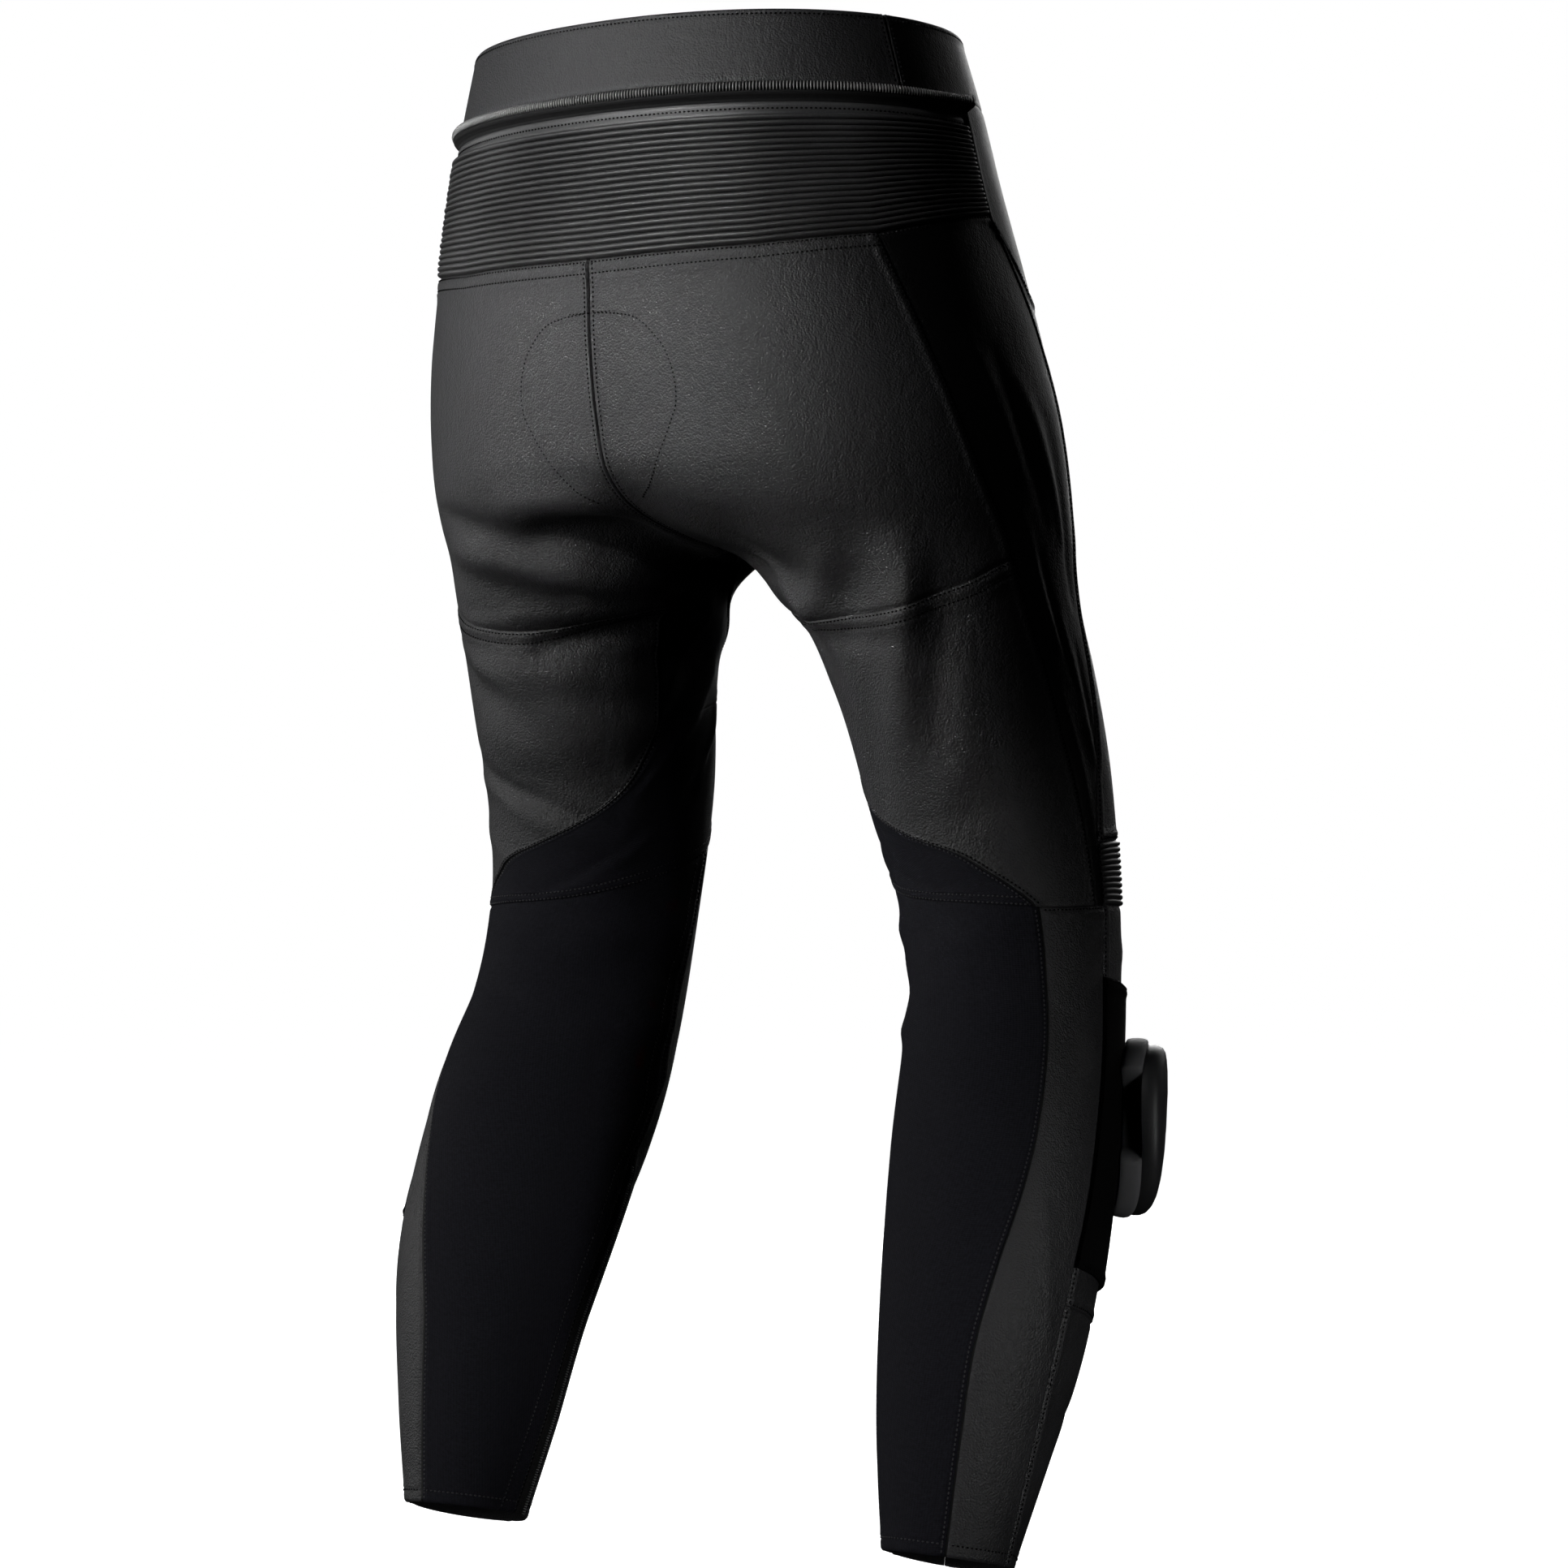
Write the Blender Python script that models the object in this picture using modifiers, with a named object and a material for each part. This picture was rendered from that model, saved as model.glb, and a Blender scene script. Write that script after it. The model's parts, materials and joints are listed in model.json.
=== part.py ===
"""Leather motorcycle trousers, hollow and in their worn shape, for Blender 4.5.

Metres, +Z up. The origin is the middle of the waist opening, level with the top of the
waistband. The front faces -Y and the wearer's left is +X.

Every piece is a wall cut from one smooth skin. A point of the skin has an angle round the
leg (0 outside, 90 behind, 180 inside, -90 in front) and a height. Above the crotch each
leg's loop is cut off at the middle, where the two halves of the garment meet.
"""
import bpy
import bmesh
import numpy as np
from mathutils import Matrix, Vector

# Walls and seams
LEATHER = 0.0020
STRETCH = 0.0016
SEAM_GAP = 0.00034
SEAT = 0.0003

# Heights of the cut lines, as (angle, height)
WAIST_TOP = 0.0
BAND_EDGE = -0.0465
ZIP_EDGE = -0.0600
HEM = -0.9670
# Inside the leg, an angle and the same angle less 360 have the same height.
YOKE_LINE = ((-128, -0.151), (-112, -0.168), (-36, -0.170), (-20, -0.166), (-5, -0.122), (31, -0.142),
             (60, -0.149), (90, -0.151), (220, -0.151))
THIGH_LINE = ((-190, -0.360), (-170, -0.360), (-130, -0.360), (-105, -0.359), (-60, -0.349),
              (-20, -0.342), (20, -0.344), (40, -0.358), (60, -0.368), (100, -0.377), (140, -0.371),
              (165, -0.361), (180, -0.360), (195, -0.360), (250, -0.360))
KNEE_LINE = ((-160, -0.5195), (-145, -0.516), (-115, -0.511), (-85, -0.540), (-55, -0.561),
             (-10, -0.567), (46, -0.569), (80, -0.562), (115, -0.550), (150, -0.535), (185, -0.523),
             (200, -0.5195), (215, -0.516), (245, -0.511), (260, -0.511))

# The skin's sections: heights in metres, then the leg loop's outer and inner side, its middle
# and half depth front to back, how square it is (2 is an ellipse), and its slant
SECTIONS = np.array([
    # height, outer, inner, middle, half_depth, squareness, slant
    (0.000, 0.170, -0.170, -0.008, 0.130, 2.15, 0.00),
    (-0.050, 0.184, -0.184, -0.011, 0.138, 2.15, 0.00),
    (-0.100, 0.195, -0.190, -0.014, 0.142, 2.20, 0.00),
    (-0.150, 0.206, -0.180, -0.016, 0.140, 2.30, -0.02),
    (-0.200, 0.218, -0.150, -0.015, 0.136, 2.30, -0.06),
    (-0.250, 0.227, -0.108, -0.019, 0.131, 2.25, -0.10),
    (-0.285, 0.230, -0.074, -0.024, 0.125, 2.20, -0.12),
    (-0.305, 0.231, -0.045, -0.030, 0.118, 2.15, -0.12),
    (-0.325, 0.231, 0.000, -0.040, 0.108, 2.10, -0.10),
    (-0.345, 0.231, 0.034, -0.048, 0.099, 2.10, -0.06),
    (-0.370, 0.232, 0.056, -0.056, 0.092, 2.10, -0.03),
    (-0.410, 0.234, 0.073, -0.069, 0.087, 2.10, 0.00),
    (-0.480, 0.237, 0.087, -0.087, 0.080, 2.10, 0.00),
    (-0.560, 0.241, 0.106, -0.095, 0.074, 2.10, 0.00),
    (-0.640, 0.248, 0.117, -0.084, 0.074, 2.10, 0.00),
    (-0.730, 0.262, 0.128, -0.052, 0.074, 2.10, 0.00),
    (-0.820, 0.265, 0.139, -0.023, 0.068, 2.10, 0.00),
    (-0.900, 0.252, 0.147, -0.003, 0.056, 2.05, 0.00),
    (-0.980, 0.235, 0.161, 0.014, 0.041, 2.00, 0.00),
])
CROTCH = -0.325
SQUARE_FROM, SQUARE_OVER = -0.36, 0.14   # leg rows turn square to the leg below here
BRIDGE = 0.030                           # reach of the soft join at the centre seams
BRIDGE_SLOPE = 0.5
BRIDGE_FADE = 0.05       # height above the crotch over which the soft join grows

# Small steps for slopes of the skin, in metres and degrees
STEP, STEP_ANGLE, STEP_X = 0.0008, 0.3, 0.004
TWIST, TWIST_FROM, TWIST_OVER = 16.0, -0.60, 0.18   # each lower leg turns outwards, in degrees

# Seams that run down a leg, as (height, angle)
SIDE_BACK = ((-0.570, 2), (-0.510, 7), (-0.466, 10), (-0.426, 12), (-0.386, 15), (-0.340, 18),
             (-0.290, 21), (-0.246, 24), (-0.194, 27), (-0.142, 31))
SIDE_FRONT = ((-0.570, -4), (-0.530, -3), (-0.510, -5), (-0.450, -16), (-0.360, -24),
              (-0.280, -23), (-0.190, -17), (-0.156, -11), (-0.122, -5))
KNEE_WEDGE = ((-0.572, 38), (-0.558, 49), (-0.541, 63), (-0.520, 80), (-0.510, 92),
              (-0.497, 108), (-0.486, 123), (-0.477, 134), (-0.465, 146), (-0.450, 155),
              (-0.434, 161), (-0.415, 164), (-0.385, 165), (-0.360, 167), (-0.345, 171),
              (-0.335, 176), (-0.325, 180))
INNER_FRONT = ((-0.980, 245), (-0.600, 245), (-0.500, 240), (-0.420, 234), (-0.380, 224),
               (-0.360, 212), (-0.345, 199), (-0.338, 193), (-0.325, 181.5))
CALF_FRONT = ((-0.980, 8), (-0.900, 18), (-0.854, 21), (-0.790, 18), (-0.728, 10), (-0.656, -1),
              (-0.566, -4))
CALF_OUTER = ((-0.980, 70), (-0.900, 71), (-0.840, 71), (-0.800, 64), (-0.750, 52), (-0.700, 41),
              (-0.650, 35), (-0.610, 35), (-0.572, 38))
CALF_INNER = ((-0.980, 177), (-0.870, 183), (-0.800, 185), (-0.740, 188), (-0.680, 192),
              (-0.610, 197), (-0.550, 204), (-0.500, 208))
BAND_SEAM = 16.0

# Rows of each stretch between two cut lines
BAND_ROWS, ZIP_ROWS, THIGH_ROWS, LEG_ROWS = 2, 3, 10, 18
HIP_SHARES = (0, 0.1, 0.2, 0.3, 0.4, 0.5, 0.6, 0.7, 0.78, 0.8326, 0.9, 1)
HIP_PANEL_ROWS = 5
INSEAM_TIP = 9           # row of the hip stretch where the inner thigh piece starts
WEDGE_TOP = 4            # row of the thigh stretch where the knee back piece starts
RIB_TOP = 8              # last row of the thigh stretch above the knee ribs
RIB_SHARE = 0.84         # share of the thigh stretch above the knee ribs
KNEE_PANEL_END = 11      # rows of the lower leg
PAD_ROWS = (2, 10)
CALF_ZIP_TOP = 8
CALF_ZIP_HALF, CALF_ZIP_TIP, CALF_ZIP_RIDGE = 0.006, 0.0012, 0.0012
CALF_ZIP_SHARES = (0, 0.4, 0.6, 1)

# Columns of points round each piece
COLUMNS = {
    "seat": 9, "thigh_back": 8, "side_panel": 4, "inner_thigh": 12, "knee_back": 12,
    "front_hip": 8, "front_thigh": 8, "knee": 8, "outer_calf": 3, "calf_stretch": 7,
    "inner_shin": 3, "waist_back": 11, "waist_front": 8, "waist_tab": 2,
    "hip_wrap": 4, "zip_back": 10, "rib_back": 9,
}
HIP_SIDE, HIP_BACK = -5, 31   # angles where the yoke's side and back parts meet and end

# Ribs
BACK_RIBS, BACK_RIB_HEIGHT = 20, 0.0016
BACK_RIB_MARGIN = 0.09   # plain border above the ribs, as a share of the panel's height
PLAIN_STRIDE = 8         # rows of a ribbed piece's outside to one row of its plain inside
KNEE_RIBS, KNEE_RIB_HEIGHT = 10, 0.0015
RIB_STEPS = 2            # rows of points from one groove to the next

# Joining zip: half a zip that stands out along the waistband's lower edge
CHAIN_LIFT, CHAIN_END_LIFT, CHAIN_END = 0.0035, 0.0060, 0.05
CHAIN_PROFILE = (0.0, 1.0, 1.0, 0.2)   # how far each row of the zip stands out, top to bottom

# Fly and waistband tab
FLY_HALF, FLY_FROM, FLY_END = 0.019, -0.110, -0.255
TAB_REACH, TAB_RAMP, TAB_LIFT = 0.036, 0.014, LEATHER + 1.5 * SEAT
SNAP_RADIUS, SNAP_HEIGHT, SNAP_BEVEL = 0.0075, 0.0028, 0.0010

# Knee slider and the pad it holds to
PAD_WALL = 0.0028
PAD_COLUMNS = 5
SLIDER_ANGLE, SLIDER_HEIGHT_AT = -41.0, -0.690
SLIDER_TALL, SLIDER_WIDE, SLIDER_THICK = 0.108, 0.084, 0.024
SLIDER_RINGS, SLIDER_SPOKES = 3, 28
SLIDER_NARROWING = 0.22
# The block's side and outer face, from its base out: share of its width, share of its thickness
SLIDER_PROFILE = ((1.00, 0.62), (0.86, 0.86), (0.72, 1.00), (0.40, 1.03))
SLIDER_CROWN = 1.08

# The largest folds: soft ridges (+) and troughs (-) from one point to another of the skin.
# side is 1 for the wearer's left leg, -1 for the right and 0 for both.
FOLD_REACH = 0.085       # metres round the leg for one radian
FOLD_CLEAR = 0.025       # folds die away this near the middle of the garment
FOLD_ENDS = (0.15, 0.70)   # where each fold starts on its taper, and how much of the taper it covers
FOLDS = (
    # side, from angle, from height, to angle, to height, width, height
    (1, 165, -0.318, 95, -0.328, 0.014, -0.0070),
    (1, 185, -0.352, 70, -0.338, 0.016, 0.0055),
    (1, 190, -0.400, 110, -0.392, 0.018, -0.0050),
    (1, 200, -0.440, 90, -0.418, 0.018, 0.0040),
    (1, 160, -0.455, 70, -0.470, 0.020, -0.0025),
    (-1, 160, -0.330, 105, -0.350, 0.013, -0.0050),
    (-1, 165, -0.352, 95, -0.378, 0.013, 0.0050),
    (-1, 75, -0.350, 92, -0.480, 0.018, 0.0035),
    (-1, 120, -0.385, 112, -0.470, 0.016, -0.0030),
    (0, 110, -0.600, 60, -0.590, 0.014, 0.0030),
    (0, 190, -0.565, 120, -0.580, 0.014, 0.0035),
    (0, 160, -0.620, 100, -0.615, 0.014, -0.0030),
    (0, -150, -0.350, -60, -0.330, 0.016, -0.0045),
    (0, -160, -0.375, -85, -0.372, 0.016, 0.0035),
    (0, -165, -0.300, -100, -0.285, 0.015, 0.0035),
)

# Colours: base colour, roughness, metallic
FINISHES = {
    "leather": ((0.020, 0.020, 0.022), 0.55, 0.0),
    "side_leather": ((0.006, 0.006, 0.006), 0.60, 0.0),
    "stretch_cloth": ((0.008, 0.008, 0.013), 0.92, 0.0),
    "ribbed_leather": ((0.020, 0.020, 0.021), 0.45, 0.0),
    "zip_tape": ((0.008, 0.008, 0.009), 0.85, 0.0),
    "loop_fabric": ((0.003, 0.003, 0.003), 0.95, 0.0),
    "slider_plastic": ((0.012, 0.012, 0.012), 0.35, 0.0),
    "snap_metal": ((0.050, 0.050, 0.050), 0.35, 1.0),
}


def smooth_curve(points, x):
    """Cubic curve through (position, value) points whose positions rise, level past both ends."""
    at, value = np.array(points, float).T
    slope = np.gradient(value, at)
    x = np.clip(x, at[0], at[-1])
    i = np.clip(np.searchsorted(at, x) - 1, 0, len(at) - 2)
    step = at[i + 1] - at[i]
    t = (x - at[i]) / step
    return ((1 + 2 * t) * (1 - t) ** 2 * value[i] + t * (1 - t) ** 2 * step * slope[i]
            + t * t * (3 - 2 * t) * value[i + 1] - t * t * (1 - t) * step * slope[i + 1])


def soft_step(x):
    """0 below 0, 1 above 1, an S curve between them."""
    x = np.clip(x, 0, 1)
    return x * x * (3 - 2 * x)


def yoke_height(angle):
    """Height of the yoke line at an angle, straight between its points."""
    at, height = np.array(YOKE_LINE, float).T
    return np.interp(angle, at, height)


def section(height):
    """The loop at a height: centre, half width, middle, half depth, squareness and slant."""
    rows = SECTIONS[::-1]
    outer, inner, middle, depth, square, slant = (
        smooth_curve(rows[:, [0, k]], height) for k in range(1, 7))
    return (outer + inner) / 2, (outer - inner) / 2, middle, depth, square, slant


def loop_point(shape, angle):
    """Offset from the loop's centre at an angle in degrees: a rounded, slanted ellipse."""
    _, half, _, depth, square, slant = shape
    c = np.cos(np.radians(angle))
    s = np.sin(np.radians(angle))
    x = np.sign(c) * np.abs(c) ** (2 / square) * half
    y = np.sign(s) * np.abs(s) ** (2 / square) * depth + slant * x
    return x, y


def angle_at_x(x, height, front):
    """Angle at which the loop crosses a distance x from the middle, in front or behind."""
    centre, half, _, _, square, _ = section(height)
    ratio = np.clip((x - centre) / half, -1, 1)
    angle = np.degrees(np.arccos(np.sign(ratio) * np.abs(ratio) ** (square / 2)))
    return -angle if front else angle


def bare_skin(side, angle, height):
    """The skin before its folds, for arrays of side, angle and height."""
    turn = TWIST * soft_step((TWIST_FROM - height) / TWIST_OVER)
    shape = section(height)
    x, y = loop_point(shape, angle + side * turn)
    # Soft join: near the middle the surface is lifted so that it crosses x = 0 square
    centre, _, middle, _, _, _ = shape
    for front in (False, True):
        x0, y0 = loop_point(shape, angle_at_x(0.0, height, front))
        x1, y1 = loop_point(shape, angle_at_x(STEP_X, height, front))
        slope = np.clip(np.abs((y1 - y0) / STEP_X), 0, BRIDGE_SLOPE)
        fade = soft_step((height - CROTCH) / BRIDGE_FADE)
        behind = (np.sin(np.radians(angle)) < 0) if front else (np.sin(np.radians(angle)) >= 0)
        lift = slope * BRIDGE * np.exp(-np.maximum(centre + x, 0) / BRIDGE) * fade * behind
        y = y + (-lift if front else lift)
    above, below = section(height + STEP), section(height - STEP)
    lean_x, lean_y = (above[0] - below[0]) / (2 * STEP), (above[2] - below[2]) / (2 * STEP)
    square_up = soft_step((SQUARE_FROM - height) / SQUARE_OVER)
    z = height - square_up * (lean_x * x + lean_y * y)
    return np.stack([side * (centre + x), middle + y, z + 0 * side], axis=-1)


def normal_of(surface, side, angle, height):
    """Outward direction of a surface, from small steps in angle and height."""
    round_step = surface(side, angle + STEP_ANGLE, height) - surface(side, angle - STEP_ANGLE, height)
    down_step = surface(side, angle, height - STEP) - surface(side, angle, height + STEP)
    n = np.cross(down_step, round_step) * np.asarray(side)[..., None]
    return n / np.linalg.norm(n, axis=-1, keepdims=True)


def fold_height(side, angle, height):
    """Sum of the folds: each is highest on its own line and dies away as a bell across it."""
    total = np.zeros(np.broadcast(side, angle, height).shape)
    for leg, a0, h0, a1, h1, width, size in FOLDS:
        across = (angle - a0 + 180) % 360 - 180
        u, v = np.radians(across) * FOLD_REACH, height - h0
        du, dv = np.radians(a1 - a0) * FOLD_REACH, h1 - h0
        along = np.clip((u * du + v * dv) / (du * du + dv * dv), 0, 1)
        away = np.hypot(u - along * du, v - along * dv)
        taper = np.sin(np.pi * (FOLD_ENDS[0] + FOLD_ENDS[1] * along))
        total = total + size * taper * np.exp(-(away / width) ** 2) * ((leg == 0) | (side == leg))
    return total


def skin(side, angle, height):
    """The finished skin: the bare one moved out by its folds."""
    side, angle, height = np.broadcast_arrays(side, angle, height)
    base = bare_skin(side, angle, height)
    folds = fold_height(side, angle, height) * soft_step(np.abs(base[..., 0]) / FOLD_CLEAR)
    return base + normal_of(bare_skin, side, angle, height) * folds[..., None]


# The cut lines from the top down, and the height of a row between two of them
CUTS = (
    lambda angle: WAIST_TOP + 0 * angle,
    lambda angle: BAND_EDGE + 0 * angle,
    lambda angle: ZIP_EDGE + 0 * angle,
    yoke_height,
    lambda angle: smooth_curve(THIGH_LINE, angle),
    lambda angle: smooth_curve(KNEE_LINE, angle),
    lambda angle: HEM + 0 * angle,
)
WAIST, BAND, ZIP, YOKE, THIGH, KNEE, END = range(7)


def row_height(row, angle):
    """Height at an angle of a row: 3.5 is half way from cut line 3 to cut line 4."""
    k = int(min(np.floor(row + 1e-9), END - 1))
    upper, lower = CUTS[k](angle), CUTS[k + 1](angle)
    return upper + (lower - upper) * (row - k)


def seam_angles(rows, seam):
    """Where a seam, an angle for each height, crosses each row."""
    found = []
    for row in rows:
        angle = np.array(0.0)
        height = row_height(row, angle)
        for _ in range(40):
            angle = 0.5 * angle + 0.5 * seam(height)
            height = row_height(row, angle)
        found.append(float(angle))
    return np.array(found)


def seam(points):
    return lambda height: smooth_curve(points, height)


def rows_between(start, end, count):
    return np.linspace(start, end, count + 1)


def centre_line(front, half=None):
    """The centre seam, or a line at half(height) beside it; below the crotch, the inseam."""
    def angle(height):
        x = 0.0 if half is None else half(height)
        above = angle_at_x(x, height, front)
        below = smooth_curve(KNEE_WEDGE, height) - (360 if front else 0)
        return np.where(height > CROTCH, above, below)
    return angle


def fly_half(height):
    return FLY_HALF * (1 - soft_step((FLY_FROM - height) / (FLY_FROM - FLY_END)))


def grid(rows, left, right, shares):
    """Angles and heights of a piece: columns at shares of the way from one seam to the other."""
    a = seam_angles(rows, left)[:, None]
    b = seam_angles(rows, right)[:, None]
    angle = a + (b - a) * np.asarray(shares)[None, :]
    height = np.stack([row_height(row, angle[i]) for i, row in enumerate(rows)])
    return angle, height


def inset(side, angle, height, edges="lrtb"):
    """Draw the edges of a piece in by half the seam gap, at right angles to each edge."""
    side = np.broadcast_to(side, angle.shape)
    round_step = skin(side, angle + STEP_ANGLE, height) - skin(side, angle - STEP_ANGLE, height)
    down_step = skin(side, angle, height + STEP) - skin(side, angle, height - STEP)
    per_degree = np.linalg.norm(round_step, axis=-1) / (2 * STEP_ANGLE)
    per_metre = np.linalg.norm(down_step, axis=-1) / (2 * STEP)
    new_angle, new_height = angle.astype(float).copy(), height.astype(float).copy()
    places = {"l": (slice(None), 0, 1), "r": (slice(None), -1, -2), "t": (0, slice(None), 1),
              "b": (-1, slice(None), -2)}
    for name in edges:
        i, j, toward = places[name]
        inner = (i, toward) if name in "lr" else (toward, j)
        pa, ph = per_degree[i, j], per_metre[i, j]
        flow = np.sign(side[i, j])
        u, v = np.gradient(angle[i, j] * flow) * pa, np.gradient(height[i, j]) * ph
        length = np.hypot(u, v)
        nu, nv = -v / length, u / length
        du = (angle[inner] - angle[i, j]) * flow * pa
        dv = (height[inner] - height[i, j]) * ph
        way = np.sign(nu * du + nv * dv)
        new_angle[i, j] += flow * way * nu * SEAM_GAP / 2 / pa
        new_height[i, j] += way * nv * SEAM_GAP / 2 / ph
    return new_angle, new_height


def finish_for(name):
    """One Principled material for each finish."""
    found = bpy.data.materials.get(name)
    if found:
        return found
    colour, roughness, metallic = FINISHES[name]
    material = bpy.data.materials.new(name)
    material.use_nodes = True
    shader = material.node_tree.nodes["Principled BSDF"]
    shader.inputs["Base Color"].default_value = (*colour, 1)
    shader.inputs["Roughness"].default_value = roughness
    shader.inputs["Metallic"].default_value = metallic
    return material


def add_mesh(name, points, faces, finish):
    mesh = bpy.data.meshes.new(name)
    mesh.from_pydata(points, [], faces)
    mesh.materials.append(finish_for(finish))
    mesh.shade_smooth()
    mesh.set_sharp_from_angle(angle=np.radians(40))
    piece = bpy.data.objects.new(name, mesh)
    parts.objects.link(piece)
    return piece


def grid_faces(at):
    """Two triangles for each cell of a grid of point numbers, always on the same diagonal."""
    a, b, c, d = at[:-1, :-1], at[:-1, 1:], at[1:, 1:], at[1:, :-1]
    lower, upper = np.stack([a, d, c], -1), np.stack([a, c, b], -1)
    return np.concatenate([lower.reshape(-1, 3), upper.reshape(-1, 3)])


def edge_faces(outer, inner, stride):
    """Close the edge between a run of outer points and its inner run, one point to a stride."""
    faces = []
    for k in range(len(inner) - 1):
        run = outer[k * stride:(k + 1) * stride + 1]
        half = len(run) // 2
        faces += [(run[i], inner[k], run[i + 1]) for i in range(half)]
        faces.append((run[half], inner[k], inner[k + 1]))
        faces += [(run[i], inner[k + 1], run[i + 1]) for i in range(half, len(run) - 1)]
    return np.array(faces)


def add_wall(name, outer, inner, finish, flip=False, stride=1):
    """Closed wall from a grid of outer points and one of inner points, one row to a stride."""
    front = np.arange(outer.shape[0] * outer.shape[1]).reshape(outer.shape[:2])
    back = front.size + np.arange(inner.shape[0] * inner.shape[1]).reshape(inner.shape[:2])
    faces = np.concatenate([
        grid_faces(front), grid_faces(back)[:, ::-1],
        edge_faces(front[:, 0], back[:, 0], stride),
        edge_faces(front[:, -1], back[:, -1], stride)[:, ::-1],
        edge_faces(front[0], back[0], 1)[:, ::-1],
        edge_faces(front[-1], back[-1], 1),
    ])
    if flip:
        faces = faces[:, ::-1]
    points = np.concatenate([outer.reshape(-1, 3), inner.reshape(-1, 3)])
    return add_mesh(name, points.tolist(), faces.tolist(), finish)


def add_cloth(name, side, angle, height, wall, finish, relief=0.0, lift=0.0, edges="lrtb", stride=1):
    """A cloth piece: the skin moved out by lift and relief, and the same skin moved in."""
    side = np.broadcast_to(np.asarray(side, float), angle.shape)
    angle, height = inset(side, angle, height, edges)
    base = skin(side, angle, height)
    out = normal_of(skin, side, angle, height)
    lift = np.broadcast_to(lift, angle.shape)[..., None]
    outer = base + out * (lift + np.broadcast_to(relief, angle.shape)[..., None])
    inner = (base + out * (lift - wall))[::stride]
    if (side == side[0, 0]).all():
        # a piece of one leg stays on its own side of the middle
        for points in (outer, inner):
            points[..., 0] = side[0, 0] * np.maximum(side[0, 0] * points[..., 0], SEAM_GAP / 2)
    flip = side[0, 0] * (angle[0, 1] - angle[0, 0]) < 0
    return add_wall(name, outer, inner, finish, flip, stride)


def shares(piece):
    """Even shares from one side of a piece to the other, one for each column of points."""
    return np.linspace(0, 1, COLUMNS[piece] + 1)


def joined(rows, *spans):
    """Angles and heights of spans of columns, each a (seam, seam, piece), side by side."""
    grids = [grid(rows, left, right, shares(piece)) for left, right, piece in spans]
    return tuple(np.concatenate([grids[0][k]] + [g[k][:, 1:] for g in grids[1:]], axis=1)
                 for k in (0, 1))


def both_sides(rows, *spans):
    """Join spans of columns on the right side and their mirror on the left, across the middle."""
    angle, height = joined(rows, *spans)
    side = np.concatenate([-np.ones(angle.shape), np.ones(angle.shape)[:, 1:]], axis=1)
    return (side, np.concatenate([angle, angle[:, -2::-1]], axis=1),
            np.concatenate([height, height[:, -2::-1]], axis=1))


def level(angle):
    return lambda height: angle + 0 * height


def rib_rows(start, end, ribs, margin=0.0):
    """Rows and heights of ribs: a plain margin, then grooves and crowns in turn."""
    marks = np.linspace(margin, 1, ribs * RIB_STEPS + (0 if margin > 0 else 1))
    raised = (np.arange(len(marks)) % RIB_STEPS != 0).astype(float)
    if margin > 0:
        marks, raised = np.append(0.0, marks), np.append(0.0, raised)
    return start + (end - start) * marks, raised


def leg_name(piece, side):
    return f"{piece}_{'left' if side > 0 else 'right'}"


def make_waistband():
    rows = rows_between(WAIST, BAND, BAND_ROWS)
    side, angle, height = both_sides(rows, (level(BAND_SEAM), centre_line(False), "waist_back"))
    add_cloth("waistband_back", side, angle, height, LEATHER, "leather")
    # The right front ends at the middle. The left front passes over it as a tab.

    def beside(x):
        return lambda height: angle_at_x(x, height, True)

    angle, height = joined(rows, (level(BAND_SEAM), beside(TAB_REACH), "waist_front"),
                           (beside(TAB_REACH), beside(0.0), "waist_tab"))
    add_cloth("waistband_front_right", -1, angle, height, LEATHER, "side_leather")
    angle, height = joined(rows, (level(BAND_SEAM), beside(TAB_RAMP), "waist_front"),
                           (beside(TAB_RAMP), beside(0.0), "waist_tab"),
                           (beside(0.0), beside(TAB_REACH), "waist_tab"))
    side = np.ones(angle.shape)
    side[:, -COLUMNS["waist_tab"]:] = -1
    ahead = skin(side, angle, height)[..., 0]
    lift = TAB_LIFT * soft_step((TAB_RAMP - ahead) / TAB_RAMP)
    add_cloth("waistband_front_left", side, angle, height, LEATHER, "side_leather", lift=lift)


def make_snap():
    """A plain domed snap on the tab, seated on the tab's outer face."""
    height = np.array(BAND_EDGE / 2)
    angle = angle_at_x(TAB_REACH / 2, height, True)
    spot = skin(np.array(-1.0), angle, height)
    out = normal_of(skin, np.array(-1.0), angle, height)
    bm = bmesh.new()
    bmesh.ops.create_cone(bm, cap_ends=True, segments=14, radius1=SNAP_RADIUS, radius2=SNAP_RADIUS,
                          depth=SNAP_HEIGHT)
    mesh = bpy.data.meshes.new("waist_snap")
    bm.to_mesh(mesh)
    bm.free()
    mesh.materials.append(finish_for("snap_metal"))
    mesh.shade_smooth()
    mesh.set_sharp_from_angle(angle=np.radians(40))
    snap = bpy.data.objects.new("waist_snap", mesh)
    above = TAB_LIFT + 2 * SEAT + SNAP_HEIGHT / 2
    snap.matrix_world = (Matrix.Translation(Vector(spot + out * above))
                         @ Vector(out).to_track_quat("Z", "Y").to_matrix().to_4x4())
    parts.objects.link(snap)
    bevel = snap.modifiers.new("rounded edge", "BEVEL")
    bevel.width = SNAP_BEVEL
    bevel.segments = 2


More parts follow.
